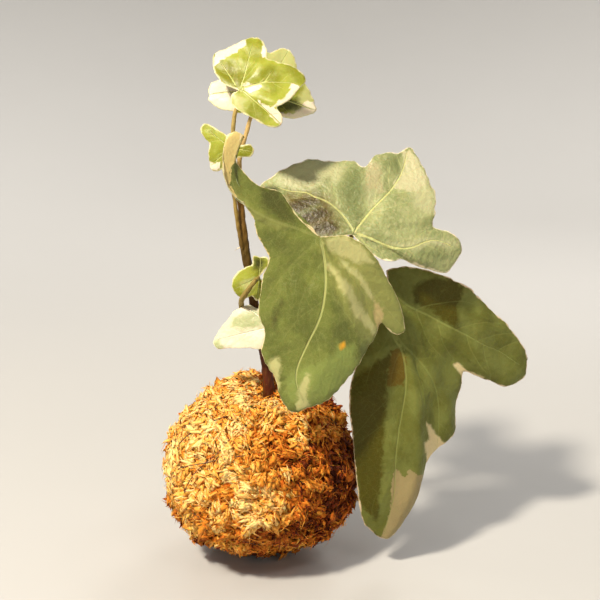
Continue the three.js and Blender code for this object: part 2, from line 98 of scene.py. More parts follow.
# %% Shader recipes
class Recipe:
    """A node material, written as a list of steps that each give a socket."""

    def __init__(self, name):
        self.material = bpy.data.materials.new(name)
        self.material.use_nodes = True
        self.tree = self.material.node_tree
        self.shader = self.tree.nodes["Principled BSDF"]

    def set(self, **values):
        """Values that are the same all over the surface, on the shader's own sockets."""
        for name, value in values.items():
            self.shader.inputs[name.replace("_", " ")].default_value = value
        return self

    def node(self, kind, inputs=(), **properties):
        made = self.tree.nodes.new(kind)
        for name, value in properties.items():
            setattr(made, name, value)
        for key, value in dict(inputs).items():
            if isinstance(value, bpy.types.NodeSocket):
                self.tree.links.new(value, made.inputs[key])
            else:
                made.inputs[key].default_value = value
        return made

    def read(self, attribute, output="Fac"):
        return self.node("ShaderNodeAttribute", attribute_name=attribute).outputs[output]

    def parts(self, attribute):
        """The three numbers of an attribute, as separate sockets."""
        split = self.node("ShaderNodeSeparateXYZ", {0: self.read(attribute, "Vector")})
        return split.outputs[0], split.outputs[1], split.outputs[2]

    def place(self):
        return self.node("ShaderNodeTexCoord").outputs["Object"]

    def noise(self, vector, scale, detail=3.0, distortion=0.0):
        inputs = {"Vector": vector, "Scale": scale, "Detail": detail, "Distortion": distortion}
        return self.node("ShaderNodeTexNoise", inputs).outputs["Fac"]

    def cells(self, vector, scale):
        """Distance to the nearest wall between cells."""
        inputs = {"Vector": vector, "Scale": scale}
        return self.node("ShaderNodeTexVoronoi", inputs, feature="DISTANCE_TO_EDGE").outputs["Distance"]

    def maths(self, operation, *values):
        return self.node("ShaderNodeMath", dict(enumerate(values)), operation=operation).outputs[0]

    def sum(self, a, b, c=0.0):
        """a * b + c"""
        return self.maths("MULTIPLY_ADD", a, b, c)

    def step(self, value, low, high, out_low=0.0, out_high=1.0):
        """Eases from out_low to out_high while value goes from low to high."""
        inputs = {"Value": value, 1: low, 2: high, 3: out_low, 4: out_high}
        made = self.node("ShaderNodeMapRange", inputs, interpolation_type="SMOOTHSTEP")
        return made.outputs[0]

    def blend(self, share, first, second):
        """first where share is 0, second where it is 1; each a colour or a socket."""
        made = self.node("ShaderNodeMix", {0: share}, data_type="RGBA")
        for key, value in ((6, first), (7, second)):
            if isinstance(value, bpy.types.NodeSocket):
                self.tree.links.new(value, made.inputs[key])
            else:
                made.inputs[key].default_value = (*value, 1)
        return made.outputs[2]

    def ramp(self, value, stops):
        made = self.node("ShaderNodeValToRGB", {0: value})
        elements = made.color_ramp.elements
        while len(elements) < len(stops):
            elements.new(0.5)
        for element, (at, colour) in zip(elements, stops):
            element.position = at
            element.color = (*colour, 1)
        return made.outputs[0]

    def finish(self, colour, roughness=None, height=None, depth=0.1):
        """Wires the colour, and where they vary the roughness and the relief, depth in mm."""
        self.tree.links.new(colour, self.shader.inputs["Base Color"])
        if roughness is not None:
            self.tree.links.new(roughness, self.shader.inputs["Roughness"])
        if height is not None:
            bump = self.node("ShaderNodeBump", {"Height": height, "Distance": depth * MM})
            self.tree.links.new(bump.outputs[0], self.shader.inputs["Normal"])
        return self.material


print("a recipe's steps:", ", ".join(step for step in vars(Recipe) if not step.startswith("_")))

# %% Stage
FLOOR_RADIUS = 500
WALL = (1400, 1300)  # how far the sweep runs out past the floor, and how high it climbs
STAGE_SIDES = 96
STAGE_STEPS = 24
PALE = (0.46, 0.455, 0.445)
PALE_SHADE = (0.446, 0.441, 0.432)
PAPER_WAVES = 6.0  # per metre


def stage_finish():
    paper = Recipe("pale_stage").set(Roughness=0.8)
    mottle = paper.noise(paper.place(), PAPER_WAVES)
    return paper.finish(paper.blend(mottle, PALE, PALE_SHADE))


def make_stage():
    rise = np.linspace(0, math.pi / 2, STAGE_STEPS)
    radii = np.concatenate([[FLOOR_RADIUS / 2], FLOOR_RADIUS + WALL[0] * np.sin(rise)])
    heights = np.concatenate([[0], WALL[1] * (1 - np.cos(rise))])
    turn = 2 * np.pi * np.arange(STAGE_SIDES) / STAGE_SIDES
    rings = []
    for radius, height in zip(radii, heights):
        rings.append(np.column_stack([radius * np.cos(turn), radius * np.sin(turn), 0 * turn + height]))
    corners = np.vstack([[0, 0, 0], *rings]) * MM
    faces = [(0, 1 + i, 1 + (i + 1) % STAGE_SIDES) for i in range(STAGE_SIDES)]
    for ring in range(len(rings) - 1):
        for i in range(STAGE_SIDES):
            a, b = 1 + ring * STAGE_SIDES + i, 1 + ring * STAGE_SIDES + (i + 1) % STAGE_SIDES
            faces.append((a, a + STAGE_SIDES, b + STAGE_SIDES, b))
    mesh = bpy.data.meshes.new("stage")
    mesh.from_pydata(corners.tolist(), [], faces)
    mesh.shade_smooth()
    mesh.materials.append(stage_finish())
    stage = bpy.data.objects.new("stage", mesh)
    bpy.context.scene.collection.objects.link(stage)


make_stage()
print("stage: a sweep of", 2 * (FLOOR_RADIUS + WALL[0]), "mm across")

# %% Lamps
PLANT_MIDDLE = (15, 0, 90)
LAMPS = [  # name, place, width, watts, colour
    ("key_lamp", (-398, -492, 856), 110, 16.5, (1.0, 0.90, 0.74)),
    ("fill_lamp", (600, -560, 260), 500, 0.35, (1.0, 0.93, 0.84)),
    ("rim_lamp", (260, 560, 480), 340, 1.2, (1.0, 0.95, 0.88)),
]
ROOM_LIGHT = (1.0, 0.97, 0.93)
ROOM_STRENGTH = 0.13
SWEEP_LAMPS = 6
SWEEP_RING = 700  # radius of the ring that they stand on
SWEEP_HEIGHT = 900
SWEEP_AIM = 1500  # how far out on the floor each one points
SWEEP_SIZE = 400
SWEEP_POWER = 6.0


def make_lamp(name, place, size, power, colour, aim=PLANT_MIDDLE):
    data = bpy.data.lights.new(name, "AREA")
    data.shape = "DISK"
    data.size = size * MM
    data.energy = power
    data.color = colour
    lamp = bpy.data.objects.new(name, data)
    lamp.location = [v * MM for v in place]
    way = Vector(aim) * MM - lamp.location
    lamp.rotation_euler = way.to_track_quat("-Z", "Y").to_euler()
    bpy.context.scene.collection.objects.link(lamp)


for lamp in LAMPS:
    make_lamp(*lamp)
for turn in range(0, 360, 360 // SWEEP_LAMPS):
    way = Vector((math.cos(math.radians(turn)), math.sin(math.radians(turn)), 0))
    place = way * SWEEP_RING + Vector((0, 0, SWEEP_HEIGHT))
    make_lamp(f"sweep_lamp_{turn}", place, SWEEP_SIZE, SWEEP_POWER, ROOM_LIGHT, way * SWEEP_AIM)

world = bpy.data.worlds.new("studio")
world.use_nodes = True
background = world.node_tree.nodes["Background"]
background.inputs["Color"].default_value = (*ROOM_LIGHT, 1)
background.inputs["Strength"].default_value = ROOM_STRENGTH
bpy.context.scene.world = world
print("key, fill, rim and sweep lamps and the world are set")

# %% [markdown]
# ## The shape of an ivy leaf
# An ivy blade has no flat outline that could be extruded: each lobe leaves the base in its own
# direction and droops or twists on its own. So the blade is built as a fan of ribs. Each rib
# leaves the base at an angle, reaches out to the margin, and bends on the way. The lobe tips are
# the long ribs and the bays between lobes the short ones. Where a lobe hooks, as on the front
# leaf's left side, its ribs also swing round on their way out.
#
# The CAD model uses the same fan with few steps. Here the steps are fine enough to carry the
# swelling between the veins, and the numbers are the same, so the fine blade lies in the CAD one.
#
# The veins and the coloured marks lie in the plane of each leaf: a vein is a line through a few
# places, and a mark is an outline of a few corners. Places along the margins, veins and marks
# were picked by eye from the photo. A separate calculation turned them back through the camera
# into angles and distances on the blade, and some were then moved by hand.

# %% The eight blades
# bends: [rib, lift, curl, late]; margin: [rib, reach] or [rib, angle at the margin, reach]
# veins and marks: places on the blade as [angle, distance from the base]
# shown and twigs: how strongly each vein is drawn, and the side veins that leave it
LEAVES = {
    "blade_front": dict(
        base=(23.7, -32, 139.9), along=(-0.08, 0, -1), face=(0.05, -1, 0.12),
        bends=[
            [-138, 2, 0], [-122, 4, 8, 6], [-108, 5, 12, 6], [-94, 4, 4, 2], [-60, 1, 0], [-22, 4, -10],
            [15, 8, -22], [28, 4, -16], [48, -9, -16], [95, -8, -8],
        ],
        margin=[
            [-138, -127, 8], [-132, -135, 18], [-129, -133.5, 22], [-126, -127.5, 26.5],
            [-124, -125.5, 29.5], [-120.5, -126.5, 36.5], [-118, -127.5, 40], [-116.5, -130, 42.5],
            [-115, -133.5, 44], [-114, -136.5, 44.5], [-113.5, -138.5, 44.5], [-113, -138, 46],
            [-112.5, -136.5, 48], [-112, -133.5, 48.5], [-111.5, -130, 47.5], [-110.5, -125.5, 45],
            [-109.5, -120.5, 41.5], [-108, -115.5, 37.5], [-106, -111.5, 33.5], [-103, -108.5, 29],
            [-99, -103.5, 25.5], [-90, -96, 23.5], [-65, 19], [-47, -49, 25.5], [-28, -35, 34],
            [-16, -25, 40], [-11, -22, 47], [4, -13, 54], [15, -5, 65], [21, 7, 60.5], [26, 18, 52],
            [34, 27, 46], [39, 35, 43.5], [42, 41, 42], [44, 43, 49], [48, 51.5], [55, 42.5], [65, 30],
            [82, 18.5], [98, 10],
        ],
        veins=[
            [[30, 1], [17, 9.3], [11, 19], [5, 29], [-2, 39.4], [-5, 48.6], [-4, 54.7], [-1, 60.4]],
            [[-84, 0.5], [-107, 8], [-106, 20], [-111, 31.5], [-124, 42]],
            [[-30, 3], [-40, 16], [-36, 31]],
            [[46, 3], [47, 16], [49, 28], [48, 48]],
        ],
        shown=[0.8, 0.16, 0.08, 0.16], twigs=[0.12, 0.05, 0.05, 0.08],
        marks=dict(
            tinge=[
                [
                    [-5, 49.5], [1, 46.2], [8, 43.5], [15, 40], [22, 41.3], [19, 50.7], [12, 56.5],
                    [4, 59.4], [-2, 62.4], [-6, 61.1], [-9, 55.7], [-8, 50.7],
                ],
            ],
            # partly painted sheen: the second light patch pales the right half that turns away, over its own
            # paler green
            light=[
                [[-113, 33], [-107, 27], [-104, 20], [-103, 13], [-100, 15], [-101, 25], [-108, 33]],
                [
                    [14, 1], [20, 12], [22, 24], [26, 34], [30, 44], [40, 42], [44, 49], [48, 52],
                    [56, 43], [66, 31], [82, 20], [98, 11], [85, 1],
                ],
            ],
            sage=[
                [
                    [18, 9], [24, 9.1], [30, 14], [36, 20.6], [34, 27], [36, 33.5], [37, 40.4],
                    [34, 43.8], [33, 39.5], [28, 31.1], [28, 25.7], [27, 19.9], [24, 14], [18, 10.6],
                ],
                [
                    [49, 11.5], [53, 17.3], [51, 24], [49, 29], [45, 33.2], [45, 29.8], [47, 23],
                    [45, 17.2], [43, 12.8],
                ],
                [[77, 2], [96, 9.8], [84, 15.9], [69, 22.7], [60, 16.6], [54, 10.3], [39, 5.7]],
                [[-18, 49.3], [-15, 46.1], [-12, 48], [-12, 52], [-10, 58.5], [-13, 57]],
                [[-3, 56], [-1, 50], [1, 51], [0, 56.5], [1, 63.2], [-3, 64]],
            ],
            tan=[[[46, 32.6], [47, 38], [42, 41.5], [37, 42], [39, 37.6]]],
            cream=[
                [[-94, 25.5], [-80, 22], [-62, 21], [-62, 19], [-78, 19.8], [-92, 23.4]],
                [
                    [-109, 34], [-110, 41], [-115, 47], [-123, 51], [-130, 53], [-139, 52], [-142, 46],
                    [-136, 43.5], [-131, 42], [-126, 40], [-121, 39], [-116, 37], [-112, 33],
                ],
            ],
            # painted shade: the first deep patch darkens the fold of the hooked lobe; the second is a small
            # darker spot
            deep=[
                [
                    [-126, 26.9], [-132, 23], [-135, 17.6], [-127, 12.5], [-116, 9.6], [-110, 14.5],
                    [-112, 19.5], [-116, 23.9],
                ],
                [[-24, 36.3], [-27, 31.4], [-27, 25.6], [-24, 26.8], [-22, 32.5], [-21, 37]],
            ],
            spot=[[[15, 39.7], [18, 38.7], [17.6, 41], [15, 41.4]]],
        ),
    ),
    "blade_upper_right": dict(
        base=(36.4, -18, 138.8), along=(23.9, 26, 31.2), face=(0.08, -0.795, 0.6),
        bends=[
            [-100, 0, -8], [-75, 4, -36], [-58, 4, -26], [-40, 2, -6], [0, -3, 8], [20, 2, -4],
            [60, 3, -12], [90, 0, -14], [135, -5, -4],
        ],
        margin=[
            [-108, 8], [-96, 16], [-79, 22], [-76, 33], [-74, 40], [-66, 43.5], [-59, 44], [-53, 41],
            [-48, 32.5], [-39, 35], [-28, 38.5], [-16, 41], [-5, 45.5], [0, 46.5], [4, 41.5], [8, 40.5],
            [15, 36.5], [20, 31], [30, 33.5], [43, 34.5], [55, 37], [67, 38.5], [80, 40.5], [86, 41.5],
            [95, 38], [107, 26.5], [118, 16], [135, 8],
        ],
        veins=[
            [[-10, 1], [-4, 7.6], [-4, 14.2], [-7, 22.7], [-6, 30.4], [-4, 36.8], [-1, 43.1]],
            [[27, 1.8], [52, 8], [59, 12.7], [66, 17.1], [72, 21.2], [74, 25.5], [80, 30.4], [83, 36]],
            [
                [-53, 1.8], [-69, 6.6], [-75, 13], [-73, 18.4], [-68, 23.1], [-61, 28], [-58, 32.9],
                [-60, 39],
            ],
            [[-76, 2.6], [-95, 6.8], [-91, 11.2]],
        ],
        shown=[0.9, 0.7, 0.9, 0.5], twigs=[0.4, 0.2, 0.25, 0.1],
        marks=dict(
            sage=[
                [[-15, 32.6], [-18, 39.1], [-29, 38.2], [-39, 34.8], [-40, 29.7], [-28, 27.6]],
                [[15, 20.7], [6, 21.8], [-1, 18.7], [1, 14.8], [10, 16.7]],
                [
                    [82, 37.2], [70, 38.8], [58, 37.3], [43, 34.5], [34, 30], [40, 23.7], [58, 21.8],
                    [73, 29.1],
                ],
                [[-70, 25], [-61, 31], [-62, 39], [-58, 42], [-57, 30], [-66, 20.5], [-70, 14]],
            ],
            tan=[
                [
                    [19, 31.6], [16, 34.3], [9, 32.7], [5, 27.8], [-3, 23.6], [0, 22.2], [6, 22.3],
                    [15, 21.1],
                ],
            ],
            # partly painted shadow: the leaf's own brown, painted darker where the front leaf shades it
            tinge=[
                [
                    [81, 32], [78, 27], [65, 23.5], [60, 18.5], [63, 11], [98, 4.5], [130, 8], [117, 15],
                    [106, 22], [94, 29],
                ],
            ],
            cream=[
                [
                    [1, 43.6], [-1, 45.9], [-6, 44], [-12, 41.5], [-17, 40.2], [-20, 37.8], [-21, 32.7],
                    [-16, 29.5], [-9, 27.4], [-4, 29.7], [-4, 34.4], [-2, 38.4],
                ],
            ],
            deep=[
                [[6, 39.2], [3, 40.5], [0, 38.3], [-3, 37], [-3, 32.3], [1, 33], [5, 34.1], [8, 36.6]],
                [[35, 26.7], [29, 31.5], [22, 30], [17, 20.5], [14, 11.5], [18, 5], [40, 10], [42, 17.7]],
                [[102, 22.4], [95, 21.3], [85, 19.8], [77, 17.2], [86, 17], [99, 18.5], [103, 20.9]],
                [[68, 20.9], [57, 21.6], [49, 25.5], [54, 25.3], [64, 23.2]],
                [[-62, 5.8], [-52, 10], [-60, 11.2], [-66, 8.2]],
                [[-71, 25.7], [-65, 29], [-64, 35], [-65, 38.9], [-69, 36.4], [-72, 31]],
            ],
            # partly painted shadow: dark stripes across the brown, where the front leaf's shadow falls
            spot=[
                [[94, 27], [84, 25.4], [75, 22], [73, 18], [86, 19.5], [97, 22.6]],
                [[103, 22.5], [90, 19], [76, 15.6], [72, 11.5], [94, 13.6], [106, 18]],
                [[112, 17.5], [101, 12.8], [86, 9.6], [94, 5.6], [120, 8.5], [118, 14]],
            ],
        ),
    ),
    "blade_lower_right": dict(
        base=(51.4, -8, 116.5), along=(0, 0.05, -1), face=(0.12, -0.99, -0.05),
        bends=[
            [-75, -10, -10], [-50, 0, -12], [-25, 17, -20], [-5, 28, -36], [14, 25, -36], [24, 21, -32],
            [45, 6, -18], [65, 6, -26], [120, 0, -6], [187, -4, 0],
        ],
        margin=[
            [-74, 5], [-69, 15], [-63, -65, 25], [-53, -57, 32], [-42, -47, 33.5], [-31, -37, 29.5],
            [-17, -25, 30], [-13, -22.5, 41], [-7, -18.5, 52], [-2, -14, 63], [1, -11.5, 73],
            [4, -9, 84], [6, -7.5, 92.5], [10, -4.5, 100.5], [15, 0, 104.5], [17, 4.5, 97], [19, 9, 85],
            [20, 12.5, 75], [24, 19, 70.5], [29, 25.5, 67], [33, 30.5, 58], [37, 53], [42, 49.5],
            [47, 60], [49, 68.5], [54, 74], [59, 74], [64, 68], [70, 56], [77, 43.5], [88, 33.5],
            [96, 26], [114, 16.5], [150, 9.5], [187, 7],
        ],
        veins=[
            [[30, 1], [49, 10.5], [55, 19], [57, 30.2], [58, 39.7], [58, 48.8], [59, 56.8], [58, 68]],
            [[4, 6], [6, 16.7], [14, 24.2], [23, 32.2], [25, 41.4], [24, 49.2], [21, 57.9], [18, 66.9]],
            [
                [0, 2], [2, 18.5], [10, 24.7], [10, 32.9], [8, 40.2], [5, 48], [2, 59.4], [1, 71.2],
                [1, 81.9], [0, 92.4], [-1, 101],
            ],
            [[-40, 4], [-47, 18], [-48, 32]],
        ],
        shown=[0.5, 0.3, 0.55, 0.15], twigs=[0.45, 0.2, 0.15, 0.1],
        marks=dict(
            tan=[
                [
                    [-1, 24.9], [8, 24], [12, 27.5], [10, 34], [7, 38.6], [3, 38.2], [-4, 38.9], [-3, 32],
                    [-3, 28],
                ],
            ],
            cream=[
                [
                    [1, 72.4], [3, 73.9], [4, 76.6], [6, 72.6], [7, 75.5], [10, 77.4], [10, 83.7],
                    [8, 89.3], [6, 95.5], [4, 100.6], [1, 105], [-2, 105], [-1, 98.9], [0, 92.4],
                    [0, 82.8], [0, 77.8],
                ],
            ],
            spot=[
                [
                    [15, 55.8], [17, 58.6], [18, 63.4], [21, 71], [17, 73], [14, 75], [12, 76], [12, 66.9],
                    [12, 63.4], [15, 64.7], [15, 60.1],
                ],
                [[40, 43], [43, 44.5], [44, 50], [47, 58], [44, 58], [42, 52], [39, 51]],
            ],
            # painted shade: the first deep patch is the left half in the front leaf's shadow, the second the
            # upper leaf's shadow on the top lobe
            deep=[
                [
                    [-23, 39.4], [-19, 34.8], [-10, 28.4], [0, 25.1], [-3, 36], [-3, 52.1], [-3, 73],
                    [-3, 95.9], [-8, 89], [-12, 70.9], [-18, 55],
                ],
                [
                    [93, 10.2], [100, 14.5], [100, 20.2], [97, 25], [92, 29.3], [87, 30.9],
                    [81, 31], [74, 30.2], [68, 30.8], [63, 32.5], [59, 34.3], [59, 31.6],
                    [58, 27.3], [60, 23.6], [63, 19.1], [60, 15.7], [59, 12.3], [77, 10.1],
                ],
            ],
        ),
    ),
    "blade_top_front": dict(
        base=(-5.5, -14, 191.5), along=(1, 0.15, 0.12), face=(-0.12, -0.9, 0.42),
        bends=[
            [-120, 0, 0], [-60, 2, -16], [-35, 4, -4], [0, 4, -18], [35, 4, -6], [65, 0, -12],
            [90, -2, -8], [112, -2, -14], [140, -3, 0],
        ],
        margin=[
            [-162, 2.6], [-128, 5.4], [-104, 7.6], [-80, 10.6], [-68, 15], [-60, 18.8], [-52, 21],
            [-44, 19.4], [-39, 16.4], [-26, 19], [-12, 21.8], [-3, 24.8], [5, 24.4], [16, 21],
            [28, 17.4], [41, 16.2], [48, 19], [59, 22.4], [67, 23.4], [78, 21.6], [95, 19.6],
            [109, 20.4], [122, 15.6], [135, 9.4], [145, 4.2],
        ],
        veins=[
            [[40, 1.2], [63, 8.2], [66, 18.2]], [[15, 2.1], [4, 9.8], [-3, 19.3]],
            [[-27, 1.7], [-47, 7.2], [-50, 14.4], [-51, 20]], [[4, 9.8], [17, 13.1]],
            [[110, 2], [110, 14]],
        ],
        marks=dict(
            tinge=[[[80, 1.5], [84, 8], [94, 11.5], [110, 12], [125, 9], [130, 4], [110, 1]]],
            sage=[[[-150, 2], [-61, 4.3], [-83, 6.7], [-84, 9.5], [-100, 7.9], [-122, 5.5], [-149, 3.6]]],
            cream=[
                [
                    [109, 20.3], [94, 19.8], [77, 22], [74, 18.9], [82, 16.7], [94, 14.7], [109, 15.1],
                    [121, 15.1],
                ],
                [[54, 20], [49, 20], [44, 17], [45, 15.9], [50, 17]],
                [[57, 2.5], [14, 5.4], [2, 8.8], [-16, 7.2], [-33, 4.6], [-20, 2.5]],
                [
                    [-4, 19.3], [-7, 22.5], [-12, 22.5], [-28, 19], [-36, 17], [-41, 14.8], [-24, 17.6],
                    [-13, 18.8],
                ],
                [
                    [-45, 12.2], [-41, 15], [-43, 18.8], [-48, 21], [-52, 21], [-52, 17.8], [-51, 14.7],
                    [-49, 10.8], [-42, 8.7], [-44, 10.6],
                ],
            ],
        ),
    ),
    "blade_top_back": dict(
        base=(0.5, -1, 190.3), along=(1, 0.1, -0.25), face=(0.1, -0.93, 0.3),
        bends=[
            [-40, 0, -4], [0, 2, -14], [30, 0, -4], [75, 0, -12], [130, 0, -4], [180, 0, -14],
            [260, 0, 0],
        ],
        margin=[
            [-36, 8.6], [-24, 14.8], [-10, 19.8], [0, 23.4], [16, 21], [33, 19], [47, 19], [57, 21.4],
            [66, 22.8], [74, 22.8], [79, 20.8], [86, 18.2], [96, 18.4], [108, 17.2], [132, 13.2],
            [165, 15.2], [177, 18.4], [190, 18.8], [201, 18], [213, 15], [230, 11], [260, 7.2],
        ],
        veins=[[[0, 2], [2, 12], [0, 22]], [[60, 2], [66, 12], [68, 21]], [[170, 2], [185, 9], [190, 17]]],
        marks=dict(
            sage=[
                [[92, 14], [88, 20], [73, 24], [60, 23], [46, 20], [36, 16], [40, 12], [70, 9], [95, 10]],
                [
                    [30, 20], [13, 22], [-1, 24.5], [-17, 18.5], [-26, 16], [-22, 13.5], [-1, 14.4],
                    [9, 16.4], [18, 17],
                ],
            ],
            cream=[
                [
                    [160, 16], [166, 5], [232, 5], [230, 12], [213, 16], [200, 19.5], [188, 20.5],
                    [172, 19],
                ],
                [
                    [-38, 8], [-24, 16.5], [-10, 21.5], [0, 25], [10, 23], [6, 18], [-4, 17.5], [-14, 15],
                    [-26, 11.5],
                ],
            ],
            # painted shadow: dark olive where the top front leaf shades this one
            deep=[[[-30, 9], [-8, 7], [4, 12], [8, 15], [0, 18], [-10, 15], [-20, 12]]],
        ),
    ),
    "blade_young": dict(
        base=(-8.7, -15, 170.8), along=(-1, 0.05, -0.1), face=(-0.15, -0.95, 0.15),
        bends=[
            [-75, 0, 0], [-40, 4, -10], [5, 0, -2], [50, 2, -14], [85, 0, 0], [165, 0, -12], [190, 0, 0],
        ],
        margin=[
            [-80, 4.2], [-62, 7.6], [-55, 10.6], [-48, 13.6], [-37, 13.8], [-28, 11.2], [-17, 8.4],
            [3, 8.8], [24, 9.6], [43, 11], [62, 8.2], [65, 4.6], [89, 5.2], [113, 4.4], [140, 6],
            [152, 8.2], [169, 8.6], [185, 7.2], [187, 3.6],
        ],
        veins=[[[-43, 1], [-43, 12]], [[35, 1], [35, 9]], [[165, 1], [165, 7.5]]],
        marks=dict(
            cream=[[[40, 11.5], [22, 10], [36, 8.3], [44, 7], [60, 8.6]], [[-66, 4], [-60, 1], [-80, 1]]],
        ),
    ),
    "blade_yellow": dict(
        base=(1, -10, 121.3), along=(-1, 0, -0.25), face=(-0.1, -0.97, 0.15),
        bends=[
            [-125, 0, 12], [-85, 0, 16], [-60, 2, 0], [0, 4, -14], [45, 0, -8], [80, 0, -10],
            [120, 0, 0],
        ],
        margin=[
            [-144, 5.6], [-129, 8.4], [-108, 7.8], [-90, 8.6], [-75, 5.6], [-44, 6.8], [-24, 9],
            [-5, 10.8], [11, 11.6], [32, 11], [45, 9.6], [55, 8], [70, 9.4], [91, 8.6], [121, 5],
        ],
        veins=[[[-110, 1], [-110, 7]], [[12, 1], [12, 10]], [[72, 1], [72, 8]]],
        marks=dict(
            sage=[[[28, 8.2], [5, 7.1], [-9, 4.8], [-14, 2], [43, 3], [42, 9.5]]],
            # painted shade: the folded upper part of this small leaf, turned away from the light
            deep=[[[-86, 7.8], [-114, 7.9], [-130, 6.5], [-115, 2], [-75, 4]]],
        ),
    ),
    "blade_cream": dict(
        base=(6.4, -13, 102), along=(-1, -0.1, -0.1), face=(-0.1, -0.9, 0.35),
        bends=[[-95, 0, -4], [-50, 0, -8], [0, 2, -18], [50, 0, -4], [90, 0, -4]],
        margin=[
            [-100, 6], [-73, 8], [-57, 10], [-50, 13.4], [-35, 16.2], [-14, 19.8], [-3, 23], [4, 24.8],
            [12, 23.8], [17, 19.2], [28, 13.8], [53, 9.8], [89, 7],
        ],
        veins=[[[0, 1], [4, 12], [4, 22]], [[-45, 1], [-45, 12]]],
        marks=dict(
            sage=[
                [[-22, 16.5], [-51, 10], [-58, 5], [-5, 5.2], [-4, 13], [-9, 17]],
                [[4, 26], [5, 22.5], [13, 20.8], [16, 22], [10, 26]],
            ],
        ),
    ),
}
for leaf in LEAVES.values():
    leaf["margin"] = [row if len(row) == 3 else [row[0], *row] for row in leaf["margin"]]
    leaf["bends"] = [row if len(row) == 4 else [*row, 2] for row in leaf["bends"]]
    leaf.setdefault("shown", [1] * len(leaf["veins"]))
    leaf.setdefault("twigs", [0.4] * len(leaf["veins"]))
print(len(LEAVES), "blades")

# %% Points on a fan of ribs
def eased(table, ribs):
    """The other columns of a table at these ribs, eased between its rows."""
    table = np.array(table, float)
    held = np.clip(ribs, table[0, 0], table[-1, 0])
    row = np.clip(np.searchsorted(table[:, 0], held), 1, len(table) - 1)
    share = (held - table[row - 1, 0]) / (table[row, 0] - table[row - 1, 0])
    share = (share * share * (3 - 2 * share))[..., None]
    return table[row - 1, 1:] * (1 - share) + table[row, 1:] * share


def smooth_curve(points, count):
    """Points along a smooth curve that runs through the listed ones."""
    points = np.array(points, float)
    padded = np.vstack([2 * points[0] - points[1], points, 2 * points[-1] - points[-2]])
    at = np.linspace(0, len(points) - 1, count)
    i = np.minimum(at.astype(int), len(points) - 2)
    f = (at - i)[:, None]
    a, b, c, d = (padded[i + k] for k in range(4))
    return 0.5 * (2 * b + (c - a) * f + (2 * a - 5 * b + 4 * c - d) * f**2 + (3 * b - a - 3 * c + d) * f**3)


def unit(v):
    v = np.asarray(v, float)
    return v / np.linalg.norm(v, axis=-1, keepdims=True)


def polar(places):
    """[angle, distance] rows as flat x and y."""
    places = np.array(places, float)
    angle = np.radians(places[..., 0])
    return places[..., 1:] * np.stack([np.cos(angle), np.sin(angle)], -1)


LEAST_CURL = 1e-4  # radians; a straight rib is taken as one this slightly bent


def on_ribs(leaf, rib, angle, reach, t):
    """Places on the blade, and the same places laid out flat, for arrays of ribs and of t."""
    up = unit(leaf["face"])
    along = np.asarray(leaf["along"], float)
    along = unit(along - along @ up * up)
    across = np.cross(up, along)
    lift, curl, late = np.moveaxis(eased(leaf["bends"], rib), -1, 0)
    lift, curl = np.radians(lift), np.radians(curl)
    heading = np.radians(rib + (angle - rib) * t**late)
    curl = np.where(np.abs(curl) < LEAST_CURL, LEAST_CURL, curl)
    arc = reach / curl
    out = arc * (np.sin(lift + curl * t) - np.sin(lift))
    rise = arc * (np.cos(lift) - np.cos(lift + curl * t))
    way = np.cos(heading)[..., None] * along + np.sin(heading)[..., None] * across
    place = np.asarray(leaf["base"], float) + rise[..., None] * up + out[..., None] * way
    return place, polar(np.stack([np.degrees(heading), reach * t], -1))


for name, leaf in LEAVES.items():
    print(name, "reaches", max(row[2] for row in leaf["margin"]), "mm from its base")

# %% [markdown]
# ## Veins and marks as numbers on the mesh
# Ivy veins form a hand: one main vein runs from the base to each lobe, and side veins leave it at
# about 45 degrees. Marks are the places where the leaf lacks its green and is cream, tan, sage or
# brown instead, many with sharp torn edges; some dark green and brown marks are painted shade and
# shadow. An image texture would carry all this, but it would fix the detail at one size.
# So every corner of the mesh stores plain distances in mm, to the nearest vein and to the outline
# of each kind of mark, and the shader turns them into crisp lines and torn edges.
#
# A vein is thinner than the mesh is fine. Its distance is therefore stored with a sign, left or
# right of the vein: between two corners the number then passes through zero exactly on the vein.

# %% Distances on the flat leaf
FARTHEST = 4.0  # distance from an outline past which it isn't told apart


def to_lines(places, lines, widths=(1, 1), strengths=None):
    """Distance to the nearest line, the side of it in half line widths, and its strength."""
    nearest = np.full(len(places), 1e9)
    side = np.zeros(len(places))
    strength = np.ones(len(places))
    for number, line in enumerate(lines):
        half = np.linspace(widths[0], widths[1], len(line) - 1) / 2
        for a, b, w in zip(line[:-1], line[1:], half):
            run = b - a
            t = np.clip((places - a) @ run / max(run @ run, 1e-9), 0, 1)
            gap = places - a - t[:, None] * run
            away = np.hypot(*gap.T)
            closer = away < nearest
            nearest[closer] = away[closer]
            turn = run[0] * (places[:, 1] - a[1]) - run[1] * (places[:, 0] - a[0])
            side[closer] = (np.sign(turn) * away / w)[closer]
            strength[closer] = strengths[number] if strengths else 1
    return nearest, side, strength


def inside(places, outlines):
    """How deep in mm a place lies inside the nearest outline, negative outside all of them."""
    deepest = np.full(len(places), -FARTHEST)
    x, y = places.T
    for outline in outlines:
        corners = polar(outline)
        ends = np.roll(corners, -1, axis=0)
        away = to_lines(places, [np.array(pair) for pair in zip(corners, ends)])[0]
        within = np.zeros(len(places), bool)
        for (x1, y1), (x2, y2) in zip(corners, ends):
            crosses = (y1 > y) != (y2 > y)
            with np.errstate(divide="ignore", invalid="ignore"):
                within ^= crosses & (x < x1 + (y - y1) * (x2 - x1) / (y2 - y1))
        deepest = np.maximum(deepest, np.where(within, away, -away))
    return np.clip(deepest, -FARTHEST, FARTHEST)


